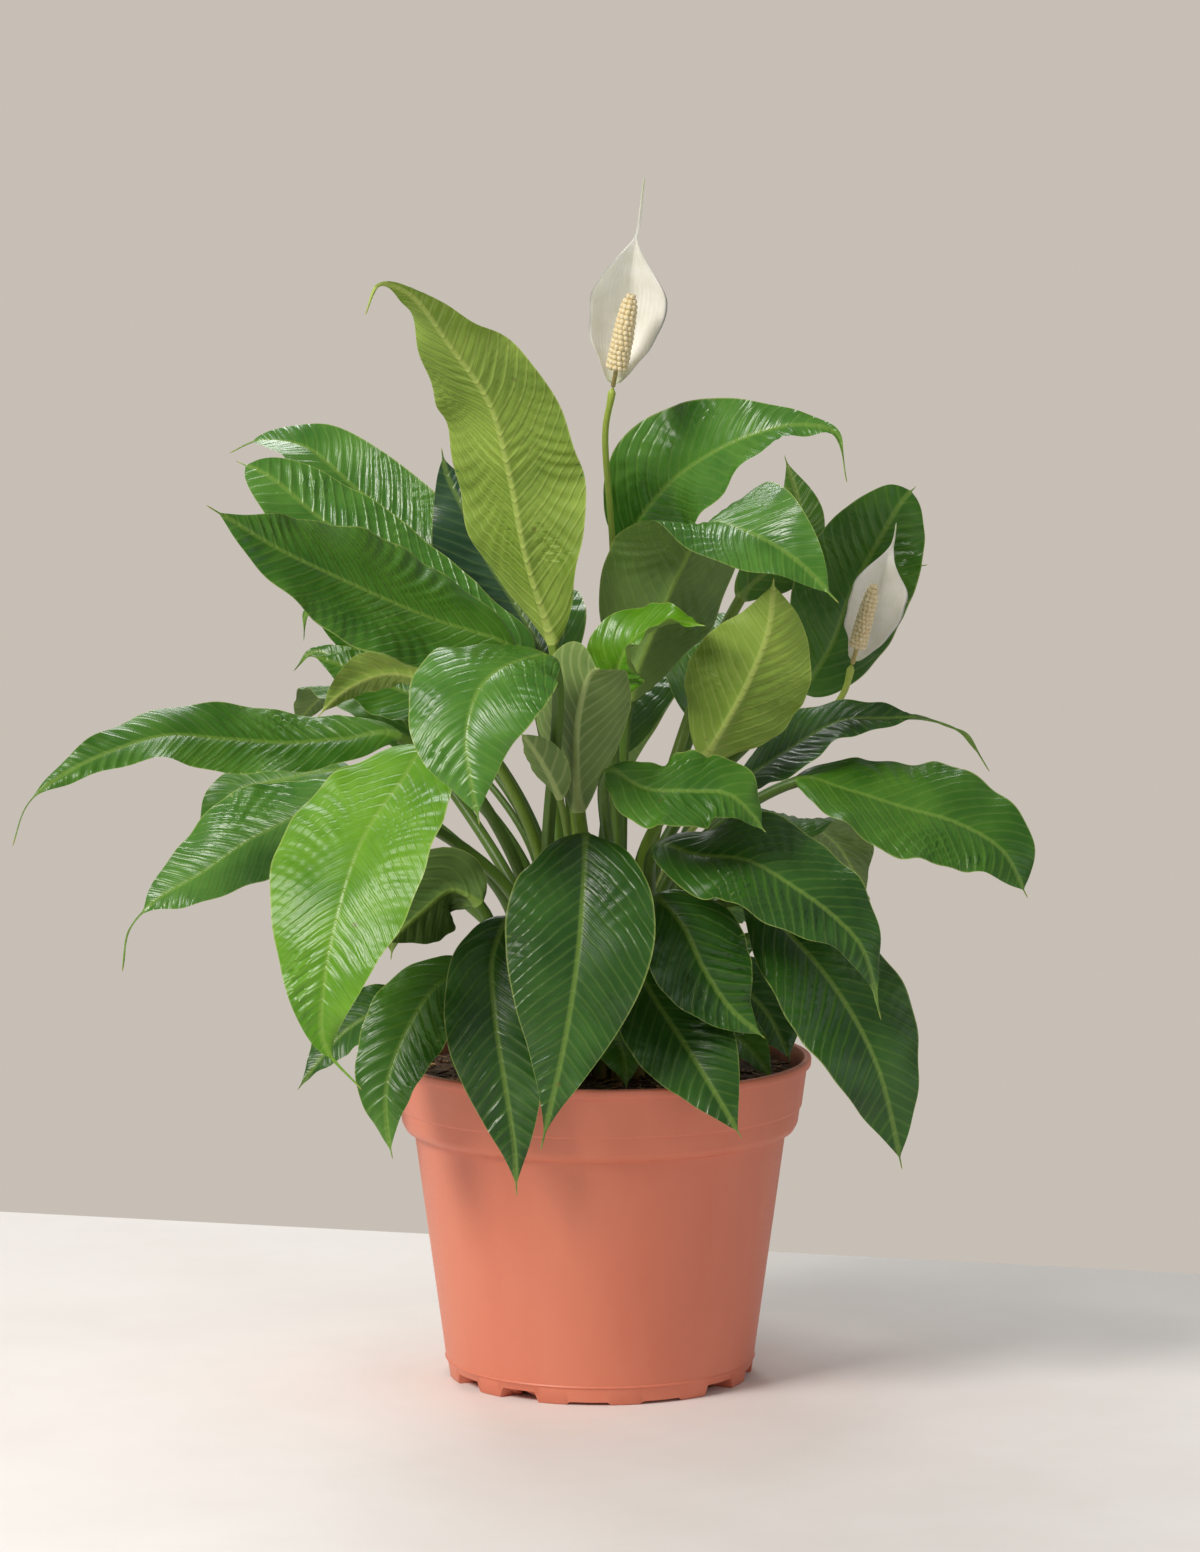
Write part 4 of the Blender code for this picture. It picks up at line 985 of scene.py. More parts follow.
@dataclass
class Blade:
    """A flat organ on a round foot: a leaf with its stalk, or a spathe.

    face_base and face_tip are the directions that the upper side looks in. fold is how far each
    half rises from flat at the midrib, and curl how far it goes on turning to its margin, both in
    degrees, left half first. ripple is the height of the margin's waves in millimetres.
    """

    name: str
    stalk: list[Point]
    blade: list[Point]
    width: float
    face_base: Point
    face_tip: Point
    fold: Point = (14, 14)
    curl: Point = (0, 0)
    ripple: float = 1.0
    waves: float = 3.0
    widest: float = 0.4
    tail: float = 0.04
    stalk_radius: float = 2.2
    fullness: float = 0.85
    tone: Tone = Tone.MID
    corrugation: float = 0.45  # millimetres that the blade swells between side veins
    wander: float = 1.6  # millimetres that the whole blade wanders from its smooth curve
    phase: float = 0.0
    start_share: float = 0.12  # share of the blade over which the round stalk turns flat

    def outline(self, share: float) -> float:
        """The half-width, as a share of its greatest.

        Args:
            share: Place along the blade from 0 at its foot to 1 at its tip.

        Returns:
            A number from 0 to 1.
        """
        if share <= 0.0 or share >= 1.0:
            return 0.0
        body = share / (1.0 - self.tail)
        thread = TIP_THREAD * (1.0 - share) ** 0.5
        if body >= 1.0:
            return thread
        tip_power = self.fullness * (1.0 - self.widest) / self.widest
        wide = (body / self.widest) ** self.fullness
        wide *= ((1.0 - body) / (1.0 - self.widest)) ** tip_power
        return max(wide, thread * min(1.0, 4 * share))

    def stations(self) -> tuple[list[Vector], int]:
        """Space stations along the stalk and the midrib.

        Returns:
            The stations in millimetres, and the number of the one where the blade starts.
        """
        line = smooth_curve([Vector(point) for point in self.stalk + self.blade])
        neck = CURVE_STEPS * max(0, len(self.stalk) - 1)
        low = line[: neck + 1]
        high = line[neck:]
        points = []
        if neck:
            points = resample(low, max(8, round(line_length(low) / 4.0)))
        start = max(0, len(points) - 1)
        rows = max(24, round(line_length(high) / STATION_SPACING))
        return points[:-1] + resample(high, rows), start

    def frames(self, points: list[Vector], start: int) -> list[tuple[Vector, Vector]]:
        """Turn the blade's way of facing into a side and a normal at each station.

        Args:
            points: The stations.
            start: The number of the blade's first station.

        Returns:
            For each station, its side direction and its normal.
        """
        last = len(points) - 1
        tangents = tangents_of(points)
        sides = [Vector((1, 0, 0))] * len(points)
        for index in range(start, last + 1):
            share = (index - start) / (last - start)
            face = Vector(self.face_base).lerp(Vector(self.face_tip), share)
            sides[index] = face.cross(tangents[index]).normalized()
        for index in range(start - 1, -1, -1):
            carried = sides[index + 1]
            sides[index] = (carried - tangents[index] * carried.dot(tangents[index])).normalized()
        return [(side, tangent.cross(side)) for tangent, side in zip(tangents, sides)]

    def section(
        self, across: float, side: Vector, normal: Vector, width: float
    ) -> tuple[Vector, Vector]:
        """Fold and curl one half of the blade, keeping its width true.

        Args:
            across: Share across the blade, from -1 to 1.
            side: The station's side direction.
            normal: The station's normal.
            width: Half the blade's width there.

        Returns:
            The offset from the midrib, and the direction that the surface faces.
        """
        sign = -1.0 if across < 0 else 1.0
        half = 0 if across < 0 else 1
        reach = abs(across)
        start = math.radians(self.fold[half])
        turn = math.radians(self.curl[half])
        end = start + turn * reach
        if abs(turn) < 0.02:
            run = reach * math.cos(start)
            lift = reach * math.sin(start)
        else:
            run = (math.sin(end) - math.sin(start)) / turn
            lift = (math.cos(start) - math.cos(end)) / turn
        offset = side * (sign * run * width) + normal * (lift * width)
        return offset, normal * math.cos(end) - side * (sign * math.sin(end))

    def relief(self, across: float, along: float, share: float, width: float) -> float:
        """How far the surface stands from its smooth curve.

        Args:
            across: Share across the blade, from -1 to 1.
            along: Millimetres from the blade's foot.
            share: Share of the blade's length.
            width: Half the blade's width there.

        Returns:
            Millimetres along the surface's normal.
        """
        turn = 2 * math.pi * self.waves * share + self.phase
        turn += 0.0 if across < 0 else RIPPLE_SHIFT
        fade = min(1.0, 6 * share, 5 * (1.0 - share))
        swing = math.sin(turn) + 0.6 * math.sin(2.3 * turn + self.phase) * abs(across)
        height = self.ripple * across * across * swing * fade
        out = abs(across) * width
        where = Vector((across * width, along, 10 * self.phase)) / 24.0
        root = along - VEIN_RISE * out - VEIN_SWEEP * out * out + 2.4 * noise.noise(where * 1.4)
        soft = min(1.0, out / 5.0) * min(1.0, 6 * (1.0 - abs(across))) * fade
        swell = self.corrugation * (1.0 + 1.2 * noise.noise(where * 0.8))
        height += swell * math.cos(2 * math.pi * root / VEIN_SPACING) * soft
        return height + self.wander * noise.noise(where) * fade * min(1.0, abs(across) * 2 + 0.2)

    def shape(self) -> bmesh.types.BMesh:
        """Bend one grid round the whole organ, from its foot to its tip.

        Returns:
            A closed mesh with its upper face in material 0, underside in 1 and stalk in 2.
        """
        points, start = self.stations()
        frames = self.frames(points, start)
        last = len(points) - 1
        blade_length = line_length(points[start:])
        columns = 4 * (BLADE_COLUMNS // 2)
        bm = bmesh.new()
        grid = bmesh.ops.create_grid(bm, x_segments=last, y_segments=columns, size=1.0)["verts"]
        marks = {}
        for vert in grid:
            index = round((vert.co.x + 1.0) / 2 * last)
            turn = round((vert.co.y + 1.0) / 2 * columns) / columns
            under = turn > 0.5
            even = (3.0 - 4 * turn) if under else (4 * turn - 1.0)
            even_side = -1.0 if under else 1.0
            across = math.copysign(abs(even) ** 1.5, even)
            share = (index - start) / (last - start)
            along = share * blade_length
            side, normal = frames[index]
            width = self.width / 2 * self.outline(share)
            marks[vert] = (across * width, along, across, share, index, turn)
            if index in (0, last):
                vert.co = points[index] * MM
                continue
            roundness = min(1.0, max(0.0, 1.0 - share / self.start_share))
            swell = 0.5 * (1.0 - index / max(1, start)) ** 2 if share < 0 else 0.0
            radius = self.stalk_radius * (1.0 + swell)
            angle = math.pi / 2 * (1.0 - even) * (-1 if under else 1)
            offset, surface = self.section(across, side, normal, width)
            sheet = BLADE_THICKNESS / 2
            thick = radius * roundness + sheet * (1.0 - roundness)
            if share > 0:
                rib = max(0.0, 1.0 - (across * width / 2.4) ** 2)
                keel = max(0.0, radius * 0.9 * (1.0 - share) - thick)
                if under:
                    thick += keel * rib
                else:
                    offset -= surface * (0.3 * rib * rib * (1.0 - roundness) * (1.0 - share))
                offset += surface * self.relief(across, along, share, width)
            sideways = side * (math.cos(angle) * max(radius * roundness, sheet / 2))
            squareness = 1.0 - 0.5 * (1.0 - roundness)
            lift = math.copysign(abs(math.sin(angle)) ** squareness, even_side)
            vert.co = (points[index] + offset + sideways + surface * lift * thick) * MM
        blade_map = bm.loops.layers.uv.new("blade")
        outline_map = bm.loops.layers.uv.new("outline")
        for face in bm.faces:
            middle = [marks[vert] for vert in face.verts]
            index = sum(mark[4] for mark in middle) / len(middle)
            turn = sum(mark[5] for mark in middle) / len(middle)
            face.material_index = 2 if index < start else (1 if turn > 0.5 else 0)
            for loop in face.loops:
                mark = marks[loop.vert]
                loop[blade_map].uv = (mark[0] / UV_UNIT, mark[1] / UV_UNIT)
                loop[outline_map].uv = (mark[2], mark[3])
        bmesh.ops.remove_doubles(bm, verts=bm.verts, dist=BLADE_WELD)
        bmesh.ops.recalc_face_normals(bm, faces=bm.faces)
        # The same short diagonals on both faces keep a twisted blade from crossing itself
        bmesh.ops.triangulate(bm, faces=bm.faces, quad_method="SHORT_EDGE")
        return bm


@dataclass
class Foliage:
    """All the leaves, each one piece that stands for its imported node."""

    leaves: list[Blade]

    def build(self) -> None:
        """Make and dress every leaf."""
        faces = {}
        for tone, finish in LEAF_FINISHES.items():
            stalk = LEAF_STALK_PALE if tone in (Tone.PALE, Tone.YOUNG) else LEAF_STALK
            faces[tone] = [finish.face(False), finish.face(True), stalk.skin()]
        for number, leaf in enumerate(self.leaves):
            leaf.phase = LEAF_PHASE_STEP * number
            foot = leaf.stalk[0]
            leaf.stalk = [(foot[0], foot[1], CROWN_TOP - FOOT_DEPTH), *leaf.stalk[1:]]
            name = f"{leaf.name}_grown"
            piece = new_piece(name, leaf.shape(), faces[leaf.tone], [leaf.name])
            piece.data.set_sharp_from_angle(angle=math.radians(BLADE_SHARP))


LEAF_STALK = StalkFinish("leaf_stalk", "#6F8236", "#4F6E1F", "#2F4A12", 118.0, 175.0)
LEAF_STALK_PALE = StalkFinish("pale_leaf_stalk", "#8C9A4A", "#6F8B2E", "#4C6A1E", 118.0, 175.0)
FLOWER_STALK = StalkFinish("flower_stalk", "#8FA048", "#A9BC52", "#7E9A38", 130.0, 300.0)


@dataclass
class Spathe(Blade):
    """A cupped white bract with round shoulders and a drawn-out tip."""

    shoulder: float = 0.68  # lower gives the cup rounder shoulders

    def outline(self, share: float) -> float:
        """The half-width, as a share of its greatest.

        Args:
            share: Place along the spathe from 0 at its foot to 1 at its tip.

        Returns:
            A number from 0 to 1.
        """
        if share <= 0.0 or share >= 1.0:
            return 0.0
        body = share / (1.0 - self.tail)
        thread = TIP_THREAD * (1.0 - share) ** 0.5
        if body < self.widest:
            return max(math.sin(math.pi / 2 * (body / self.widest) ** self.shoulder), thread)
        falling = min(1.0, (body - self.widest) / (1.0 - self.widest))
        return max(0.5 + 0.5 * math.cos(math.pi * falling), thread)


@dataclass
class Flower:
    """One flower: a round stalk, a spathe behind and a studded spadix in front."""

    name: str
    stalk: list[Point]
    spathe: list[Point]
    width: float
    widest: float
    tail: float
    face: Point
    spadix_tip: Point
    spadix_radius: float
    stalk_radius: float = 1.25
    neck_radius: float = 0.9
    neck_length: float = 6.5
    stud_rings: int = 15
    studs_round: int = 12

    def seats(self) -> tuple[Vector, Vector]:
        """Find where the spathe and the spadix stand on the stalk's end.

        Returns:
            The spathe's foot and the spadix's foot, in millimetres.
        """
        end = Vector(self.stalk[-1])
        upward = (end - Vector(self.stalk[-2])).normalized()
        face = Vector(self.face)
        face = (face - upward * face.dot(upward)).normalized()
        return end - face * 1.0, end + face * 1.0

    def build_stalk(self) -> None:
        """Make the stalk, swelling a little where the spathe joins it."""
        foot = Vector((*self.stalk[0][:2], CROWN_TOP - FOOT_DEPTH))
        line = smooth_curve([foot, *(Vector(point) for point in self.stalk[1:])])
        points = resample(line, round(line_length(line) / 3.0))
        tangents = tangents_of(points)
        sides = []
        side = Vector((1, 0, 0))
        for tangent in tangents:
            side = (side - tangent * side.dot(tangent)).normalized()
            sides.append(side)
        normals = [tangent.cross(side) for tangent, side in zip(tangents, sides)]
        last = len(points) - 1

        def radius(row: int, angle: float) -> float:
            """Swell the stalk at its foot and just under the flower.

            Args:
                row: The row along the stalk.
                angle: Radians round it.

            Returns:
                The radius in millimetres.
            """
            foot_swell = 0.9 * max(0.0, 1.0 - row / 12)
            top_swell = 0.45 * max(0.0, 1.0 - (last - row) / 3)
            return self.stalk_radius + foot_swell + top_swell + 0.05 * math.cos(5 * angle)

        bm = bmesh.new()
        make_tube(bm, points, sides, normals, radius, 20, 0)
        bmesh.ops.recalc_face_normals(bm, faces=bm.faces)
        node = f"{self.name}_stalk"
        new_piece(f"{node}_grown", bm, [FLOWER_STALK.skin()], [node])

    def build_spathe(self, tissue: bpy.types.Material) -> None:
        """Make the spathe.

        Args:
            tissue: Its finish, the same on both faces.
        """
        foot = self.seats()[0]
        node = f"{self.name}_spathe"
        spathe = Spathe(
            node,
            [],
            [tuple(foot), *self.spathe],
            self.width,
            self.face,
            self.face,
            fold=(12, 12),
            curl=(42, 42),
            ripple=0.5,
            waves=2.0,
            widest=self.widest,
            tail=self.tail,
            stalk_radius=self.neck_radius,
            corrugation=0.0,
            wander=0.7,
        )
        new_piece(f"{node}_grown", spathe.shape(), [tissue] * 3, [node])

    def build_spadix(self, core: bpy.types.Material, stud: bpy.types.Material) -> None:
        """Make the finger and set its studs in spiral rows.

        Args:
            core: The finger's finish.
            stud: The studs' finish.
        """
        foot = self.seats()[1]
        lean = Vector(self.spadix_tip) - foot
        turn = lean.to_track_quat("Z", "Y").to_matrix().to_4x4()
        place = Matrix.Translation(foot * MM) @ turn
        finger = lean.length - self.neck_length
        bm = bmesh.new()
        profile = [(0.0, 0.0), (self.neck_radius, 0.0), (self.neck_radius, self.neck_length)]
        for step in range(15):
            share = step / 14
            profile.append((self.radius_at(share) * 0.9, self.neck_length + 0.4 + finger * share))
        spin_profile(bm, profile, 28)
        bmesh.ops.transform(bm, matrix=place, verts=bm.verts)
        for ring in range(self.stud_rings):
            share = (ring + 0.5) / self.stud_rings
            radius = self.radius_at(share)
            count = max(5, round(self.studs_round * radius / self.spadix_radius))
            size = 2 * math.pi * radius / count * 0.56
            for number in range(count):
                angle = 2 * math.pi * (number + 0.5 * (ring % 2)) / count + ring * 0.13
                made = bmesh.ops.create_uvsphere(bm, u_segments=8, v_segments=5, radius=size * MM)
                height = self.neck_length + 0.4 + finger * share
                spot = Vector((math.cos(angle), math.sin(angle), 0)) * (radius * 0.86)
                spot.z = height
                matrix = place @ Matrix.Translation(spot * MM) @ Matrix.Rotation(angle, 4, "Z")
                matrix = matrix @ Matrix.Diagonal((0.8, 1.0, 0.95, 1.0))
                bmesh.ops.transform(bm, matrix=matrix, verts=made["verts"])
                for face in {face for vert in made["verts"] for face in vert.link_faces}:
                    face.material_index = 1
        bmesh.ops.recalc_face_normals(bm, faces=bm.faces)
        node = f"{self.name}_spadix"
        new_piece(f"{node}_grown", bm, [core, stud], [node])

    def radius_at(self, share: float) -> float:
        """The finger's radius at a share of its length."""
        return self.spadix_radius * (1.0 - 0.15 * share) * max(0.0, 1.0 - share**5) ** 0.5

    def build(self) -> None:
        """Make the stalk, the spathe and the spadix."""
        self.build_stalk()
        self.build_spathe(SpatheFinish().tissue())
        core = GrainFinish("spadix_core", "#B9A468", "#D9C68C", 0.8, 0.7, 0.15).surface()
        stud = GrainFinish("spadix_stud", "#E0CB97", "#F6EBCB", 1.1, 0.6, 0.2).surface()
        self.build_spadix(core, stud)


def spin_profile(
    bm: bmesh.types.BMesh, profile: list[tuple[float, float]], steps: int
) -> list[bmesh.types.BMVert]:
    """Spin a profile round the Z axis into a closed shape.

    Args:
        bm: The mesh that the shape joins.
        profile: (radius, height) pairs in millimetres, in order, both ends on the axis or joined.
        steps: Faces round the shape.

    Returns:
        The shape's vertices.
    """
    before = set(bm.verts)
    points = [bm.verts.new((radius * MM, 0.0, height * MM)) for radius, height in profile]
    edges = [bm.edges.new(pair) for pair in zip(points, points[1:])]
    bmesh.ops.spin(
        bm,
        geom=points + edges,
        cent=(0, 0, 0),
        axis=(0, 0, 1),
        angle=2 * math.pi,
        steps=steps,
        use_merge=True,
    )
    made = [vert for vert in bm.verts if vert not in before]
    bmesh.ops.remove_doubles(bm, verts=made, dist=WELD)
    made = [vert for vert in bm.verts if vert not in before]
    faces = list({face for vert in made for face in vert.link_faces})
    bmesh.ops.recalc_face_normals(bm, faces=faces)
    return made


@dataclass
class NurseryPot:
    """The moulded pot: rim, tapering collar with a fine step, body, ridge and notched base ring."""

    height: float = 125.6
    rim_radius: float = 82.5
    rim_height: float = 3.2
    wall: float = 1.6
    collar_overhang: float = 1.7  # how far the rim stands out beyond the collar
    collar_taper: float = 0.125  # radius lost for each millimetre down the collar
    band_depth: float = 18.8  # from the rim's top to the fine step round the collar
    collar_step: float = 0.7
    collar_depth: float = 26.0  # from the rim's top to where the collar turns in
    base_radius: float = 59.4
    body_top_radius: float = 72.4
    body_top: float = 95.8
    foot_width: float = 8.0
    floor_underside: float = 4.6
    floor_thickness: float = 1.8
    notch_count: int = 13
    notch_start: float = -59.5  # degrees from the front of the first notch
    notch_width: float = 15.0
    notch_inner_width: float = 7.0
    notch_rise: float = 4.0
    shallow_rise: float = 1.1
    hole_count: int = 6
    hole_radius: float = 4.5
    hole_ring: float = 34.0
    steps: int = 260

    def body_radius(self, height: float) -> float:
        """The body's outer radius at a height."""
        return self.base_radius + (self.body_top_radius - self.base_radius) * height / self.body_top

    def profile(self) -> list[tuple[float, float]]:
        """Trace the wall: up the inside, over the rounded rim, down the outside, and underneath.

        Returns:
            (radius, height) pairs in millimetres.
        """
        top = self.height
        rim = self.rim_radius
        under = top - self.rim_height
        collar = rim - self.collar_overhang
        band = collar - self.collar_taper * (self.band_depth - self.rim_height)
        turn = band - self.collar_step - self.collar_taper * (self.collar_depth - self.band_depth)
        floor_top = self.floor_underside + self.floor_thickness
        inside_top = collar - self.wall + 0.4
        return [
            (0.0, floor_top),
            (self.body_radius(floor_top) - self.wall - 1.5, floor_top),
            (self.body_radius(floor_top) - self.wall, floor_top + 1.5),
            (self.body_top_radius - self.wall, self.body_top),
            (turn - self.wall, top - 25.0),
            (collar - self.wall - 0.2, under - 1.0),
            (inside_top, top - 0.5),
            (inside_top + 0.25, top - 0.1),
            (inside_top + 0.7, top),
            (rim - 0.9, top),
            (rim - 0.45, top - 0.1),
            (rim - 0.12, top - 0.4),
            (rim, top - 0.9),
            (rim - 0.15, under + 0.3),
            (rim - 0.35, under),
            (collar + 0.25, under - 0.25),
            (collar, under - 0.8),
            (band, top - 18.5),
            (band - 0.15, top - 18.9),
            (band - 0.7, top - 19.4),
            (turn + 0.06, top - 25.2),
            (turn - 0.35, top - 26.2),
            (0.7 * turn + 0.3 * self.body_top_radius, self.body_top + 1.7),
            (self.body_top_radius + 0.35, self.body_top + 0.4),
            (self.body_top_radius, self.body_top - 0.6),
            (self.body_radius(7.3) + 0.1, 7.5),
            (self.body_radius(7.0) + 0.5, 7.0),
            (self.body_radius(6.4) + 0.4, 6.7),
            (self.body_radius(6.2), 6.3),
            (self.body_radius(0.6), 0.6),
            (self.base_radius - 0.5, 0.0),
            (self.base_radius - self.foot_width, 0.0),
            (self.base_radius - self.foot_width - 1.0, self.floor_underside),
            (9.0, self.floor_underside),
            (8.0, 0.2),
            (7.6, 0.0),
            (0.0, 0.0),
        ]

    def notch_height(self, x: float, y: float, radius: float) -> float:
        """How far a notch lifts the base ring's edge at a point.

        Args:
            x: Millimetres to the right.
            y: Millimetres to the back.
            radius: Millimetres from the axis.

        Returns:
            Millimetres up from the floor, 0 between notches.
        """
        bearing = math.degrees(math.atan2(x, -y))
        for number in range(self.notch_count):
            middle = self.notch_start + 360.0 * number / self.notch_count
            away = (bearing - middle + 180.0) % 360.0 - 180.0
            shallow = number % 4 in (2, 3)
            outer = radius > self.base_radius - self.foot_width / 2
            width = self.notch_width if shallow or outer else self.notch_inner_width
            if abs(math.radians(away)) * radius < width / 2:
                return self.shallow_rise if shallow else self.notch_rise
        return 0.0

    def build(self) -> None:
        """Spin the wall, lift the notches, drill the drainage holes and dress it."""
        bm = bmesh.new()
        verts = spin_profile(bm, self.profile(), self.steps)
        for vert in verts:
            x = vert.co.x / MM
            y = vert.co.y / MM
            radius = math.hypot(x, y)
            if vert.co.z < 1.0 * MM and radius > self.base_radius - self.foot_width - 0.5:
                vert.co.z = max(vert.co.z, self.notch_height(x, y, radius) * MM)
            if radius > 20:
                # Thin walls leave the mould a few tenths out of round
                sway = 1.0 + 0.0012 * math.sin(2 * math.atan2(y, x) + 0.7) * vert.co.z / 0.12
                vert.co.x *= min(sway, 1.0)
                vert.co.y *= min(sway, 1.0)
        for face in bm.faces:
            middle = face.calc_center_median()
            inward = face.normal.x * middle.x + face.normal.y * middle.y < 0
            face.material_index = 1 if inward and middle.z > self.body_top * MM else 0
        plastic = [PotFinish().plastic(False), PotFinish().plastic(True)]
        pot = new_piece("nursery_pot_moulded", bm, plastic, ["nursery_pot"])
        drill = bmesh.new()
        for number in range(self.hole_count):
            angle = 2 * math.pi * number / self.hole_count
            spot = Vector((math.cos(angle) * self.hole_ring, math.sin(angle) * self.hole_ring, 5.5))
            bmesh.ops.create_cone(
                drill,
                cap_ends=True,
                segments=32,
                radius1=self.hole_radius * MM,
                radius2=self.hole_radius * MM,
                depth=8 * MM,
                matrix=Matrix.Translation(spot * MM),
            )
        pins = bpy.data.meshes.new("drainage_pins")
        drill.to_mesh(pins)
        drill.free()
        cutter = bpy.data.objects.new("drainage_pins", pins)
        bpy.context.scene.collection.objects.link(cutter)
        cut = pot.modifiers.new("drainage", "BOOLEAN")
        cut.object = cutter
        cut.operation = "DIFFERENCE"
        bpy.context.view_layer.update()
        graph = bpy.context.evaluated_depsgraph_get()
        mesh = bpy.data.meshes.new_from_object(pot.evaluated_get(graph))
        pot.modifiers.clear()
        pot.data = mesh
        bpy.data.objects.remove(cutter)
        mesh.shade_smooth()
        mesh.set_sharp_from_angle(angle=math.radians(POT_SHARP))


@dataclass
class PottingMix:
    """Peat with bark, coir fibre and wood chips showing on its lumpy top."""

    top: float = MIX_TOP
    top_radius: float = 76.9
    lump: float = 1.5
    chips: int = 900
    rings: int = 64

    def lift(self, x: float, y: float) -> float:
        """How far the surface stands above or below its level.

        Args:
            x: Millimetres to the right.
            y: Millimetres to the back.

        Returns:
            Millimetres.
        """
        broad = noise.noise(Vector((x, y, 0.0)) / 13.0)
        crumbs = noise.noise(Vector((x, y, 9.0)) / 3.2)
        fine = noise.noise(Vector((x, y, 4.0)) / 1.3)
        return self.lump * broad + 0.8 * crumbs + 0.35 * fine

    def build(self) -> None:
        """Make the plug of mix and scatter chips over it."""
        bm = bmesh.new()
        profile = [(0.0, 7.0), (58.0, 7.0), (70.3, 95.0), (74.6, 101.0)]
        for ring in range(self.rings + 1):
            profile.append((self.top_radius * (1.0 - ring / self.rings), self.top))
        for vert in spin_profile(bm, profile, 200):
            if vert.co.z > (self.top - 0.1) * MM:
                x = vert.co.x / MM
                y = vert.co.y / MM
                edge = min(1.0, (self.top_radius - math.hypot(x, y)) / 6.0)
                vert.co.z += (self.lift(x, y) * edge - 0.6 * (1.0 - edge)) * MM
        peat = GrainFinish("milled_peat", "#2A1A10", "#5A4129", 3.0, 0.95, 0.7).surface()
        bark = GrainFinish("composted_bark", "#3B2417", "#6E4D30", 2.5, 0.85, 0.3).surface()
        fibre = GrainFinish("coir_and_wood_fibre", "#8A6438", "#C39A5E", 2.0, 0.8, 0.2).surface()
        seeds = random.Random(7)
        for number in range(self.chips):
            radius = (self.top_radius - 3.0) * math.sqrt(seeds.random())
            angle = seeds.uniform(0, 2 * math.pi)
            x = radius * math.cos(angle)
            y = radius * math.sin(angle)
            thin = number % 3 == 0
            length = seeds.uniform(5.0, 11.0) if thin else seeds.uniform(2.0, 6.5)
            across = seeds.uniform(0.35, 0.6) if thin else seeds.uniform(0.8, 2.2)
            made = bmesh.ops.create_cone(
                bm,
                cap_ends=True,
                segments=5,
                radius1=0.5 * across * MM,
                radius2=0.5 * across * seeds.uniform(0.4, 0.95) * MM,
                depth=length * MM,
            )["verts"]
            spot = Vector((x, y, self.top + self.lift(x, y) + 0.35 * across))
            matrix = Matrix.Translation(spot * MM)
            matrix = matrix @ Matrix.Rotation(seeds.uniform(0, 2 * math.pi), 4, "Z")
            matrix = matrix @ Matrix.Rotation(math.pi / 2 + seeds.uniform(-0.3, 0.3), 4, "Y")
            matrix = matrix @ Matrix.Diagonal((0.55, 1.0, 1.0, 1.0))
            bmesh.ops.transform(bm, matrix=matrix, verts=made)
            finish = 2 if thin or number % 7 == 0 else 1
            for face in {face for vert in made for face in vert.link_faces}:
                face.material_index = finish
        new_piece("potting_mix_crumbled", bm, [peat, bark, fibre], ["potting_mix"])


@dataclass
class Crown:
    """The clump of stem bases: a low mound, with a papery sheath round each stalk's foot."""

    leaves: list[Blade]
    flowers: list[Flower]
    sheath_depth: float = 1.5  # how far a sheath reaches below the crown's top
    sheath_heights: Point = (9.0, 20.0)  # the shortest and the tallest
    rings: int = 26

    def build(self) -> None:
        """Make the mound and its sheaths."""
        bm = bmesh.new()
        profile = [(0.0, 107.5), (30.0, 107.5), (CROWN_RADIUS, 117.8)]
        for ring in range(self.rings + 1):
            share = ring / self.rings
            radius = (CROWN_RADIUS - 0.6) * (1.0 - share)
            profile.append((radius, CROWN_TOP - 2.0 * (1.0 - share) ** 3))
        for vert in spin_profile(bm, profile, 96):
            if vert.co.z > 118.0 * MM:
                where = vert.co / (2.6 * MM)
                vert.co.z += (0.7 * noise.noise(where) - 0.5) * MM
            vert.co.x += CROWN_CENTRE[0] * MM
            vert.co.y += CROWN_CENTRE[1] * MM
        seeds = random.Random(3)
        feet = [(organ.stalk, organ.stalk_radius) for organ in [*self.leaves, *self.flowers]]
        for stalk, stalk_radius in feet:
            foot = Vector((*stalk[0][:2], CROWN_TOP - self.sheath_depth))
            line = smooth_curve([foot, *(Vector(point) for point in stalk[1:])])
            height = seeds.uniform(*self.sheath_heights)
            if line_length(line) < 3 * height:
                continue
            points = [point for point in resample(line, 200) if point.z < CROWN_TOP + height]
            points = resample(points, 9)
            tangents = tangents_of(points)
            side = Vector((1, 0, 0))
            sides = [(side - tangent * side.dot(tangent)).normalized() for tangent in tangents]
            normals = [tangent.cross(side) for tangent, side in zip(tangents, sides)]
            turn = seeds.uniform(0, 2 * math.pi)

            def radius(row: int, angle: float) -> float:
                """Hug the stalk, with a lip that stands off on one side.

                Args:
                    row: The row along the sheath.
                    angle: Radians round it.

                Returns:
                    The radius in millimetres.
                """
                foot = stalk_radius * (1.55 - 0.05 * row)
                return foot + 0.35 * math.cos(angle - turn) * row / 8 - (0.5 if row == 8 else 0.0)

            make_tube(bm, points, sides, normals, radius, 14, 1)
        root = GrainFinish("fibrous_crown", "#3A2C18", "#75663A", 2.0, 0.9, 0.6).surface()
        sheath = StalkFinish("papery_sheath", "#8E7A47", "#7E8A42", "#5C4A26", 119.0, 134.0, 0.6).skin()
        bmesh.ops.recalc_face_normals(bm, faces=bm.faces)
        new_piece("crown_sheathed", bm, [root, sheath], ["crown"])


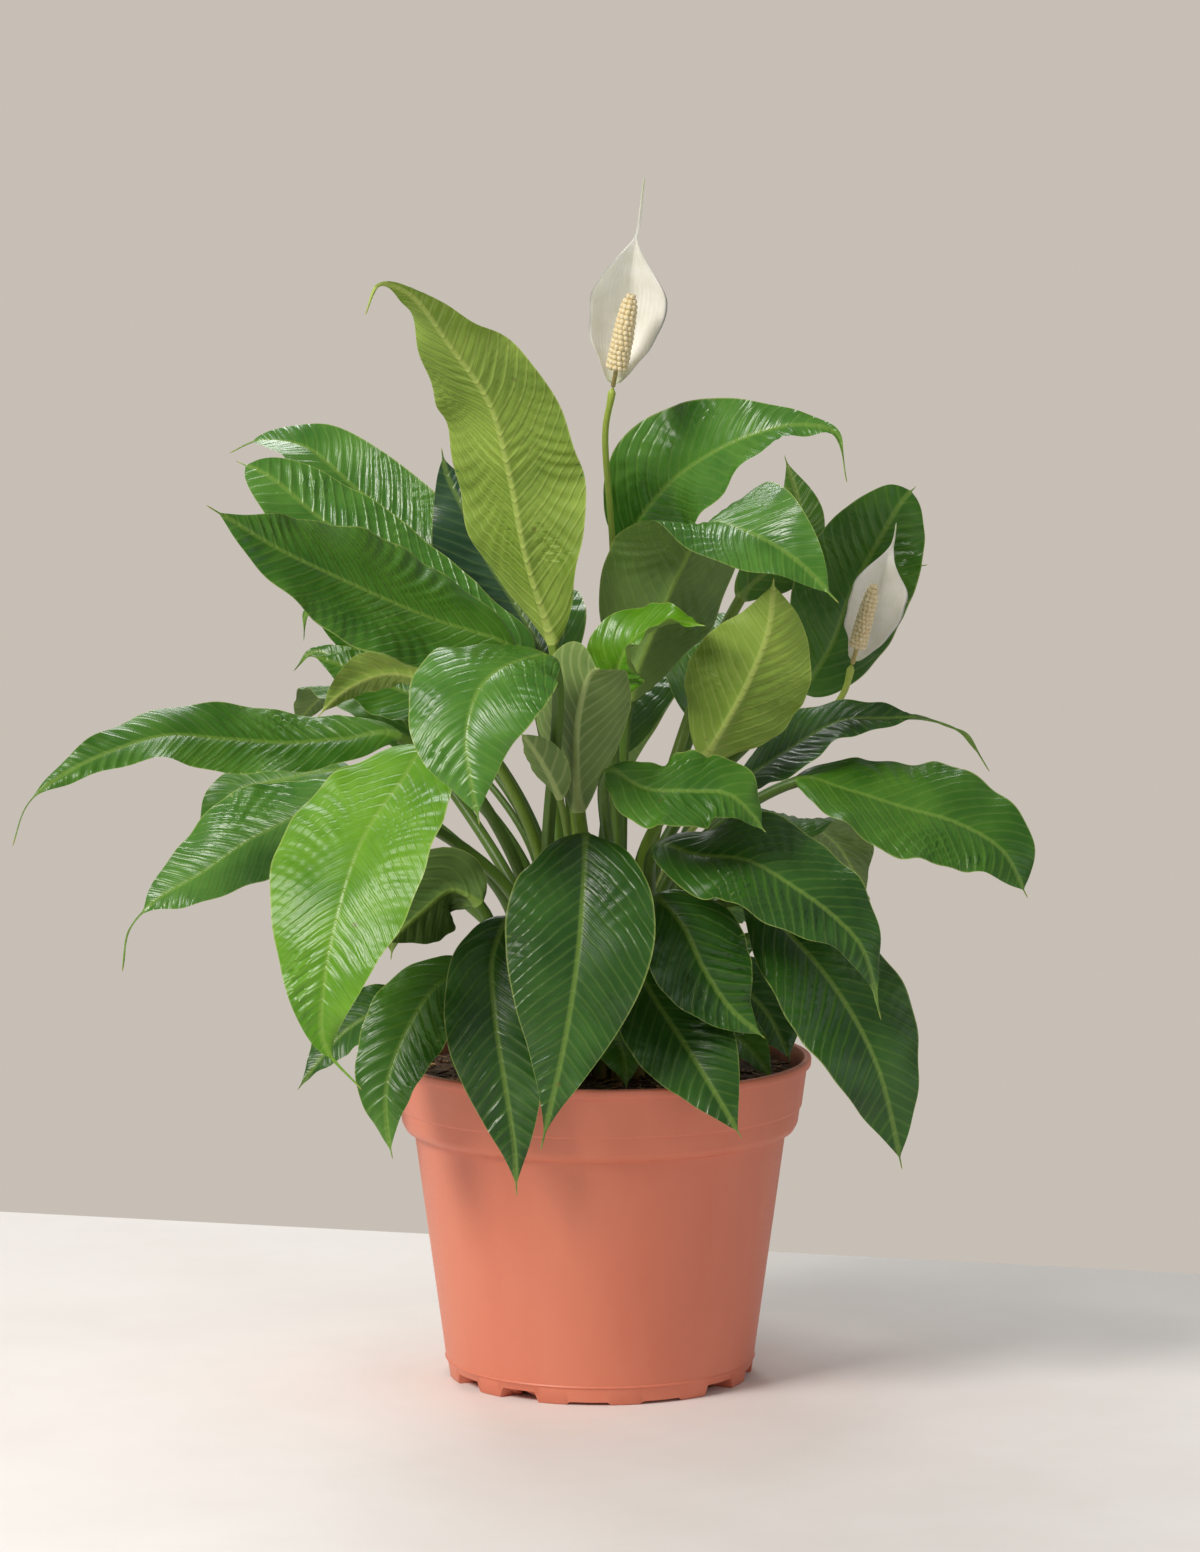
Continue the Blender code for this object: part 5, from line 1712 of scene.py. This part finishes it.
@dataclass
class Studio:
    """A pale table top, soft light and the camera."""

    table_back: float = 0.254
    table_turn: float = -14.5  # degrees that the table's back edge is turned from the view
    focal: float = 5000.0
    image_height: float = 1552.0
    distance: float = 1.929
    camera_height: float = 0.4438
    pitch: float = 6.177
    wall: str = "#C7BFB5"
    glow: str = "#DAD8D6"
    glow_strength: float = 0.42
    table: Point = (6.0, 4.0, 0.03)  # metres

    def build_floor(self) -> None:
        """Lay the table top, whose back edge shows behind the pot."""
        bm = bmesh.new()
        bmesh.ops.create_cube(bm, size=1.0)
        width, depth, thickness = self.table
        size = Matrix.Diagonal((width, depth, thickness, 1.0))
        # The top lies a tenth of a millimetre below the pot's feet
        place = Matrix.Translation((0.0, self.table_back, -0.0151))
        place = place @ Matrix.Rotation(math.radians(self.table_turn), 4, "Z")
        place = place @ Matrix.Translation((0.0, -depth / 2, 0.0))
        bmesh.ops.transform(bm, matrix=place @ size, verts=bm.verts)
        bmesh.ops.bevel(
            bm,
            geom=bm.edges,
            offset=0.003,
            offset_type="OFFSET",
            affect="EDGES",
            segments=3,
            profile=0.5,
            material=-1,
        )
        mesh = bpy.data.meshes.new("table_top")
        bm.to_mesh(mesh)
        bm.free()
        table = bpy.data.objects.new("table_top", mesh)
        bpy.context.scene.collection.objects.link(table)
        finish = GrainFinish("painted_table_top", "#EEEAE6", "#F2EFEC", 90.0, 0.6, 0.0)
        mesh.materials.append(finish.surface())

    def build_lights(self) -> None:
        """Hang the lights and colour the background."""
        world = bpy.data.worlds.new("studio")
        bpy.context.scene.world = world
        world.use_nodes = True
        world.node_tree.nodes.clear()
        tree = world.node_tree
        wall = add_node(
            tree, "ShaderNodeBackground", {}, {"Color": linear(self.wall), "Strength": 1.0}
        )
        glow = add_node(
            tree,
            "ShaderNodeBackground",
            {},
            {"Color": linear(self.glow), "Strength": self.glow_strength},
        )
        seen = add_node(tree, "ShaderNodeLightPath")
        both = add_node(
            tree,
            "ShaderNodeMixShader",
            {},
            {0: seen.outputs["Is Camera Ray"], 1: glow.outputs[0], 2: wall.outputs[0]},
        )
        add_node(tree, "ShaderNodeOutputWorld", {}, {"Surface": both.outputs[0]})
        # The standard view keeps the greens and the terracotta as strong as they are lit
        bpy.context.scene.view_settings.view_transform = "Standard"
        lamps = [
            ("key", (-1.25, -1.1, 1.5), 0.8, 36.0, "#FFFAF4"),
            ("fill", (1.5, -1.2, 0.8), 1.2, 3.0, "#F6F8FF"),
            ("back", (-0.3, 1.3, 1.6), 0.9, 14.0, "#FFFFFF"),
        ]
        for name, place, size, power, colour in lamps:
            light = bpy.data.lights.new(name, "AREA")
            light.shape = "DISK"
            light.size = size
            light.energy = power
            light.color = linear(colour)[:3]
            lamp = bpy.data.objects.new(name, light)
            lamp.location = place
            aim = Vector((0.0, 0.0, 0.2)) - Vector(place)
            lamp.rotation_euler = aim.to_track_quat("-Z", "Y").to_euler()
            bpy.context.scene.collection.objects.link(lamp)

    def build_camera(self) -> None:
        """Set the camera just under the height of the plant's top, looking a little down."""
        camera = bpy.data.cameras.new("camera")
        camera.sensor_width = 36.0
        camera.sensor_fit = "AUTO"
        camera.lens = 36.0 * self.focal / self.image_height
        camera.clip_start = 0.05
        eye = bpy.data.objects.new("camera", camera)
        eye.location = (0.0, -self.distance, self.camera_height)
        eye.rotation_euler = (math.radians(90.0 - self.pitch), 0.0, 0.0)
        bpy.context.scene.collection.objects.link(eye)
        bpy.context.scene.camera = eye

    def build(self) -> None:
        """Set up the whole studio."""
        self.build_floor()
        self.build_lights()
        self.build_camera()


LEAVES = [
    Blade(
        "upright_leaf",
        [(-6, 2), (-8, 0, 206), (-18, -6, 287)],
        [(-28, -12, 320), (-34, -18, 351), (-42, -30, 381), (-57, -42, 403), (-71, -56, 422),
            (-82, -66, 425), (-87, -72, 414)],
        57, (0.55, 0.85, 0.1), (0.1, 0.6, 0.7), fold=(10, 16), curl=(4, -10), ripple=1.6,
        tail=0.06, fullness=0.95, tone=Tone.PALE,
    ),
    Blade(
        "upper_left_back_leaf",
        [(-10, 14), (-15, 22, 199), (-31, 42, 277)],
        [(-62, 58, 314), (-79, 66, 327), (-98, 74, 343), (-119, 84, 359), (-138, 92, 361),
            (-150, 96, 356)],
        40, (-0.2, -1, 0.5), (-0.3, -0.3, 1), fold=(10, 10), curl=(6, 6), ripple=0.8, widest=0.52,
        tail=0.07, fullness=0.7, tone=Tone.GLOSSY,
    ),
    Blade(
        "upper_left_leaf",
        [(-14, 6), (-15, 12, 201), (-28, 22, 278)],
        [(-58, 26, 295), (-83, 30, 312), (-109, 36, 332), (-130, 42, 349), (-144, 50, 355)],
        42, (-0.1, -1, 0.7), (-0.4, -0.6, 1), fold=(8, 8), curl=(-8, -10), ripple=0.8, widest=0.52,
        fullness=0.62, tone=Tone.GLOSSY,
    ),
    Blade(
        "left_large_leaf",
        [(-18, 1), (-15, -2, 206), (-33, -12, 283)],
        [(-65, -22, 298), (-95, -32, 312), (-120, -42, 325), (-148, -52, 343)],
        60, (-0.1, -0.75, 1), (-0.2, -0.9, 0.8), fold=(8, 10), curl=(-14, -20), ripple=1.3,
        widest=0.42,
    ),
    Blade(
        "slate_leaf",
        [(-2, 17), (-9, 22, 203), (-21, 36, 275)],
        [(-34, 44, 299), (-45, 50, 316), (-54, 54, 335), (-61, 57, 350), (-63, 58, 360)],
        46, (0.1, -1, 0.35), (0, -1, 0.2), fold=(8, 8), ripple=0.8, widest=0.42, tone=Tone.BLUE_SHEEN,
    ),
    Blade(
        "upper_right_leaf",
        [(10, 20), (5, 26, 203), (10, 38, 320)],
        [(24, 28, 344), (41, 16, 358), (59, 6, 367), (76, 0, 371), (90, -4, 368), (95, -6, 349)],
        52, (0.3, -1, 0.7), (0.7, -0.8, 0.6), fold=(10, 10), curl=(10, 6), ripple=1.4, widest=0.32,
        fullness=1.05, tone=Tone.GLOSSY,
    ),
    Blade(
        "folded_top_leaf",
        [(8, 6), (8, 4, 206), (11, 6, 264)],
        [(20, 2, 290), (31, -4, 316), (41, -18, 334), (58, -36, 331), (75, -47, 321),
            (90, -54, 306)],
        61, (-0.1, 1, 0.35), (-0.02, -1, 0.5), fold=(10, 10), curl=(8, 8), ripple=1.3, widest=0.46,
        tone=Tone.GLOSSY,
    ),
    Blade(
        "yellow_tip_leaf",
        [(12, 26), (20, 40, 201), (56, 66, 299)],
        [(73, 70, 316), (80, 74, 332), (74, 80, 356)],
        26, (0, -1, 0.2), (0, -1, 0.2), fold=(12, 12), ripple=0.6, tone=Tone.PALE,
    ),
    Blade(
        "right_top_leaf",
        [(20, 16), (24, 30, 202), (80, 56, 263)],
        [(91, 58, 279), (100, 54, 303), (110, 48, 323), (119, 44, 339), (125, 50, 345)],
        46, (0.3, -1, 0.4), (0.2, -0.8, 0.6), fold=(8, 8), curl=(-8, -8), ripple=1.6, widest=0.5,
        fullness=0.62,
    ),
    Blade(
        "right_thin_tip_leaf",
        [(24, 22), (32, 44, 201), (81, 76, 270)],
        [(101, 86, 295), (118, 90, 308), (133, 94, 311)],
        18, (0.1, -1, 0.6), (0.1, -1, 0.8), fold=(10, 10), ripple=0.6, widest=0.35,
    ),
    Blade(
        "olive_leaf",
        [(16, -2), (16, -4, 203), (40, -12, 243)],
        [(48, -18, 257), (57, -26, 275), (64, -32, 294), (66, -36, 315)],
        48, (0, 1, 0.3), (0.1, 1, 0.2), fold=(12, 8), curl=(14, 10), ripple=1.0, widest=0.45,
        tone=Tone.PALE,
    ),
    Blade(
        "small_back_left_leaf",
        [(-20, 24), (-23, 36, 202), (-59, 60, 255)],
        [(-80, 70, 262), (-100, 76, 270), (-118, 80, 276)],
        32, (0, -1, 0.8), (0, -1, 0.8), fold=(10, 10), ripple=0.8,
    ),
    Blade(
        "grey_left_leaf",
        [(-24, 10), (-23, 18, 200), (-63, 32, 266)],
        [(-82, 36, 272), (-100, 40, 265), (-112, 42, 254)],
        26, (0, 0.6, 1), (-0.3, 1, 0.4), fold=(10, 10), curl=(6, 6), ripple=0.6, tone=Tone.PALE,
    ),
    Blade(
        "curled_tip_leaf",
        [(-22, 30), (-27, 48, 200), (-80, 84, 257)],
        [(-101, 92, 270), (-117, 98, 275), (-125, 100, 267)],
        16, (0, -1, 0.8), (-0.3, -1, 0.6), fold=(8, 8), ripple=0.5, widest=0.35, stalk_radius=1.3,
    ),
    Blade(
        "thread_tip_leaf",
        [(-16, 29), (-25, 52, 200), (-72, 90, 260)],
        [(-101, 100, 280), (-119, 104, 291), (-121, 106, 279)],
        16, (0, -1, 0.8), (-0.3, -1, 0.6), fold=(8, 8), ripple=0.5, widest=0.35, stalk_radius=1.3,
    ),
    Blade(
        "long_left_leaf",
        [(-30, 4), (-27, -2, 195), (-77, -12, 251)],
        [(-98, -16, 251), (-120, -20, 250), (-143, -26, 252), (-165, -34, 254), (-185, -42, 249),
            (-202, -48, 241), (-216, -52, 230), (-222, -54, 214)],
        35, (0, -0.9, 1), (-0.2, -0.8, 1), fold=(10, 8), curl=(-14, -12), ripple=1.3, tail=0.1,
    ),
    Blade(
        "lower_left_leaf",
        [(-31, 17), (-33, 20, 184), (-100, 22, 226)],
        [(-117, 22, 218), (-137, 20, 208), (-156, 16, 195), (-175, 12, 184), (-184, 10, 174),
            (-187, 8, 157)],
        46, (-0.2, -0.8, 1), (-0.5, -0.9, 0.6), fold=(10, 8), curl=(-6, -8), ripple=1.0,
        widest=0.42, tail=0.2, tone=Tone.GLOSSY,
    ),
    Blade(
        "lower_left_back_leaf",
        [(-29, 24), (-37, 40, 181), (-100, 66, 228)],
        [(-126, 74, 226), (-151, 80, 217), (-163, 84, 192), (-168, 86, 174)],
        26, (-0.2, -0.7, 1), (-0.5, -1, 0.4), fold=(8, 8), ripple=0.8, tail=0.16,
    ),
    Blade(
        "front_left_leaf",
        [(-26, -6), (-29, -32, 197), (-63, -58, 251)],
        [(-75, -74, 240), (-88, -94, 221), (-96, -108, 197), (-101, -116, 171), (-101, -118, 149),
            (-87, -120, 132)],
        62, (-0.35, -0.7, 1), (-0.2, -1, 0.3), fold=(10, 10), curl=(-10, -8), ripple=1.3, tail=0.1,
        fullness=0.75, tone=Tone.BRIGHT,
    ),
    Blade(
        "glossy_front_leaf",
        [(-13, -8), (-20, -34, 203), (-18, -66, 285)],
        [(-32, -80, 286), (-44, -94, 278), (-49, -104, 261), (-47, -110, 244), (-44, -112, 229)],
        54, (-0.2, -0.5, 1), (-0.25, -1, 0.1), fold=(10, 14), curl=(-20, -34), ripple=1.0,
        widest=0.42, tone=Tone.GLOSSY,
    ),
    Blade(
        "furled_leaf",
        [(3, -10), (0, -24, 174), (-8, -40, 226)],
        [(-9, -46, 246), (-8, -52, 264), (-4, -58, 279), (0, -66, 283)],
        46, (0.1, 1, 0.1), (0.2, 0.8, 0.6), fold=(24, 24), curl=(30, 30), ripple=0.3, widest=0.62,
        tone=Tone.YOUNG,
    ),
    Blade(
        "small_furled_leaf",
        [(-5, -13), (-8, -32, 175), (-15, -52, 232)],
        [(-22, -57, 247), (-30, -60, 258)],
        18, (0.5, 1, 0.2), (0.5, 1, 0.2), fold=(24, 10), curl=(10, 10), ripple=0.3, widest=0.5,
        stalk_radius=1.3, tone=Tone.YOUNG,
    ),
    Blade(
        "small_bright_leaf",
        [(5, -3), (7, -9, 207), (5, -14, 266)],
        [(8, -20, 282), (15, -26, 292), (28, -36, 298), (40, -46, 297)],
        30, (0.1, -0.8, 0.8), (0.3, -0.6, 1), fold=(14, 14), curl=(6, 6), ripple=1.6,
        tone=Tone.BRIGHT,
    ),
    Blade(
        "right_grey_leaf",
        [(26, 8), (30, 12, 185), (56, 16, 229)],
        [(76, 10, 246), (94, 6, 256), (110, 3, 257), (126, 0, 257), (140, -2, 252), (151, -4, 237)],
        33, (0.2, -0.55, 1), (0.5, -0.6, 0.9), fold=(10, 10), curl=(-14, -10), ripple=1.3,
        widest=0.32, tail=0.2, tone=Tone.DEEP_SHADE,
    ),
    Blade(
        "right_leaf",
        [(30, 0), (24, -2, 191), (76, -2, 233)],
        [(97, -8, 230), (118, -14, 224), (137, -20, 219), (154, -26, 209), (164, -30, 191)],
        54, (0.1, -0.45, 1), (0.5, -0.9, 0.4), fold=(8, 8), curl=(-12, -10), ripple=1.3,
        widest=0.48, fullness=0.7,
    ),
    Blade(
        "front_bright_leaf",
        [(11, -12), (6, -44, 192), (3, -64, 243)],
        [(17, -72, 238), (34, -80, 238), (48, -84, 237), (62, -88, 223)],
        40, (0, -0.8, 1), (0.4, -0.9, 0.7), fold=(8, 8), curl=(-10, -12), ripple=1.4, widest=0.45,
    ),
    Blade(
        "front_right_leaf",
        [(20, -12), (20, -34, 179), (21, -54, 213)],
        [(38, -66, 212), (55, -74, 211), (71, -82, 203), (86, -90, 193), (97, -96, 181),
            (104, -100, 155)],
        50, (0.1, -0.8, 1), (0.6, -0.9, 0.5), fold=(8, 10), curl=(-10, -14), ripple=1.3,
        widest=0.42, tail=0.08, tone=Tone.DEEP_SHADE,
    ),
    Blade(
        "low_right_leaf",
        [(27, -6), (20, -22, 170), (55, -42, 192)],
        [(76, -56, 176), (93, -64, 155), (104, -70, 133), (110, -70, 112), (114, -70, 93)],
        48, (0.2, -0.9, 0.6), (0.4, -1, 0.3), fold=(8, 8), curl=(-10, -10), ripple=1.1,
        widest=0.45, tone=Tone.DEEP_SHADE,
    ),
    Blade(
        "centre_front_leaf",
        [(0, -20), (0, -48, 185), (-5, -66, 219)],
        [(-6, -80, 205), (-8, -92, 180), (-13, -98, 147), (-22, -100, 106)],
        56, (0, -1, 0.8), (0, -1, 0.15), fold=(12, 12), curl=(-16, -16), ripple=1.1, widest=0.34,
        fullness=0.75, tone=Tone.DEEP_SHADE,
    ),
    Blade(
        "front_left_low_leaf",
        [(-13, -17), (-15, -44, 162), (-33, -64, 187)],
        [(-40, -74, 176), (-39, -84, 153), (-35, -90, 127), (-32, -92, 107), (-31, -92, 87)],
        38, (-0.2, -1, 0.6), (0, -1, 0.1), fold=(12, 12), curl=(-12, -12), ripple=1.1,
        tone=Tone.DEEP_SHADE,
    ),
    Blade(
        "left_low_leaf",
        [(-20, -16), (-26, -36, 160), (-48, -50, 167)],
        [(-62, -58, 161), (-73, -66, 145), (-80, -72, 126), (-80, -74, 111), (-78, -75, 98)],
        34, (-0.4, -1, 0.5), (-0.4, -1, 0.2), fold=(14, 10), curl=(-10, -10), ripple=1.0,
        widest=0.42,
    ),
    Blade(
        "small_dark_left_leaf",
        [(-31, -3), (-37, -16, 154), (-69, -26, 151)],
        [(-82, -30, 149), (-99, -34, 139), (-116, -38, 118)],
        24, (-0.3, -1, 0.8), (-0.5, -1, 0.5), fold=(10, 10), ripple=0.8, stalk_radius=1.6,
        tone=Tone.DEEP_SHADE,
    ),
    Blade(
        "shaded_under_leaf",
        [(-33, 10), (-37, 4, 158), (-47, 0, 185)],
        [(-58, -2, 191), (-69, -6, 183), (-83, -10, 170)],
        40, (-0.2, 0.9, 0.6), (-0.3, 1, 0.3), fold=(8, 8), curl=(6, 6), ripple=0.6, widest=0.45,
        tone=Tone.DEEP_SHADE,
    ),
    Blade(
        "low_right_curled_leaf",
        [(14, -20), (14, -40, 169), (21, -58, 194)],
        [(31, -68, 186), (39, -74, 170), (49, -80, 156), (62, -82, 145)],
        40, (0.2, -1, 0.4), (0.2, -1, 0.5), fold=(10, 10), curl=(-8, -14), ripple=0.8, widest=0.42,
        tone=Tone.DEEP_SHADE,
    ),
    Blade(
        "low_centre_right_leaf",
        [(7, -21), (9, -42, 154), (12, -50, 169)],
        [(21, -60, 156), (35, -76, 137), (53, -92, 109)],
        40, (0.1, -1, 0.5), (0.2, -1, 0.2), fold=(10, 10), curl=(-8, -8), ripple=0.6, widest=0.42,
        tone=Tone.DEEP_SHADE,
    ),
    Blade(
        "small_centre_low_leaf",
        [(-6, -21), (-3, -38, 138)],
        [(4, -50, 143), (9, -62, 134), (10, -66, 123)],
        26, (0, -1, 0.5), (0, -1, 0.3), fold=(14, 14), ripple=0.8, widest=0.42, stalk_radius=1.3,
    ),
    Blade(
        "right_inner_low_leaf",
        [(30, 14), (36, 6, 146), (46, 2, 161)],
        [(55, -2, 153), (65, -8, 143), (74, -16, 125)],
        36, (0.2, -1, 0.5), (0.5, -1, 0.3), fold=(10, 10), curl=(-6, -6), ripple=0.8, widest=0.42,
        tone=Tone.DEEP_SHADE,
    ),
    Blade(
        "right_small_low_leaf",
        [(33, 7), (37, -8, 133)],
        [(45, -18, 138), (56, -28, 134), (67, -36, 121)],
        22, (0.2, -1, 0.5), (0.5, -1, 0.4), fold=(10, 10), ripple=0.5, widest=0.42,
        stalk_radius=1.4,
    ),
    Blade(
        "grey_inner_leaf",
        [(31, 21), (34, 38, 157), (42, 48, 174)],
        [(50, 50, 176), (58, 52, 175), (65, 52, 169)],
        20, (0.1, -0.7, 1), (0.1, -0.7, 1), fold=(8, 8), ripple=0.5, widest=0.42, stalk_radius=1.4,
    ),
    Blade(
        "thin_inner_leaf",
        [(27, 29), (35, 40, 145), (49, 42, 157)],
        [(55, 42, 162), (61, 44, 165), (66, 46, 169)],
        12, (0.1, -0.7, 1), (0.1, -0.7, 1), fold=(8, 8), ripple=0.5, widest=0.42, stalk_radius=1.2,
    ),
    Blade(
        "soil_sprout_leaf",
        [(-25, -12), (-47, -18, 123)],
        [(-51, -22, 126), (-55, -24, 130), (-56, -25, 135)],
        10, (-0.2, -1, 0.2), (0, -1, 0.2), fold=(10, 10), ripple=0.3, widest=0.42,
        stalk_radius=1.2,
    ),
    Blade(
        "back_left_leaf",
        [(-9, 34), (-32, 66, 178), (-69, 104, 230)],
        [(-90, 124, 253), (-112, 144, 255), (-130, 158, 237)],
        58, (0.3, -0.4, 1), (-0.6, 0.6, 0.5), fold=(10, 10), curl=(-10, -10), ripple=1.1,
        widest=0.42,
    ),
    Blade(
        "back_centre_left_leaf",
        [(-2, 35), (-12, 60, 187), (-24, 96, 256)],
        [(-34, 120, 287), (-45, 146, 297), (-54, 172, 274), (-57, 184, 248)],
        62, (0.1, -0.6, 0.8), (-0.2, 1, 0.2), fold=(10, 10), curl=(-10, -10), ripple=1.1,
        widest=0.42,
    ),
    Blade(
        "back_centre_leaf",
        [(6, 38), (0, 70, 177), (5, 112, 230)],
        [(5, 136, 256), (7, 164, 262), (8, 190, 238), (9, 200, 203)],
        64, (0, -0.6, 0.8), (0, 1, 0.2), fold=(10, 10), curl=(-10, -10), ripple=1.1, widest=0.42,
    ),
    Blade(
        "back_right_leaf",
        [(14, 34), (17, 62, 186), (39, 98, 247)],
        [(52, 122, 278), (65, 146, 285), (76, 166, 262), (83, 176, 236)],
        58, (-0.1, -0.6, 0.8), (0.3, 1, 0.2), fold=(10, 10), curl=(-10, -10), ripple=1.1,
        widest=0.42,
    ),
    Blade(
        "back_low_right_leaf",
        [(22, 32), (25, 58, 163), (58, 96, 194)],
        [(77, 122, 204), (97, 144, 193), (114, 160, 165)],
        54, (0.4, 0.4, 1), (0.6, 0.6, 0.4), fold=(10, 10), curl=(-10, -10), ripple=1.1,
        widest=0.42,
    ),
    Blade(
        "back_low_left_leaf",
        [(-20, 35), (-32, 66, 153), (-61, 108, 176)],
        [(-74, 136, 181), (-84, 162, 165), (-89, 176, 137)],
        52, (-0.3, 0.5, 1), (-0.4, 1, 0.3), fold=(10, 10), curl=(-10, -10), ripple=1.1,
        widest=0.42,
    ),
    Blade(
        "back_low_centre_leaf",
        [(0, 42), (0, 80, 143), (3, 116, 159)],
        [(3, 142, 159), (3, 168, 143), (3, 184, 110)],
        54, (0, 0.5, 1), (0, 1, 0.2), fold=(10, 10), curl=(-10, -10), ripple=1.1, widest=0.42,
    ),
]

FLOWERS = [
    Flower(
        "tall_flower",
        [(0, 9), (3, 18, 243), (5, 17, 318), (2, 9, 368), (4, 5, 380), (5, 3, 386)],
        [(7, 12, 398), (10, 14, 415), (12, 11, 431), (15, 5, 448), (16, 2, 457), (17, 0, 466)],
        36, 0.59, 0.25, (0.05, -1, 0.1), (12, -4, 421), 4.2,
    ),
    Flower(
        "short_flower",
        [(17, 8), (24, 22, 192), (58, 33, 232), (88, 34, 254), (96, 30, 265), (99, 26, 277)],
        [(103, 34, 286), (109, 35, 304), (112, 31, 316), (115, 28, 325), (116, 27, 332)],
        28, 0.62, 0.13, (0.1, -1, 0.1), (107, 18, 308), 3.5,
    ),
]


def main() -> None:
    """Build every piece in order."""
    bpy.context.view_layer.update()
    Studio().build()
    NurseryPot().build()
    PottingMix().build()
    Crown(LEAVES, FLOWERS).build()
    Foliage(LEAVES).build()
    for flower in FLOWERS:
        flower.build()
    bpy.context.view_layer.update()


if __name__ == "__main__":
    main()
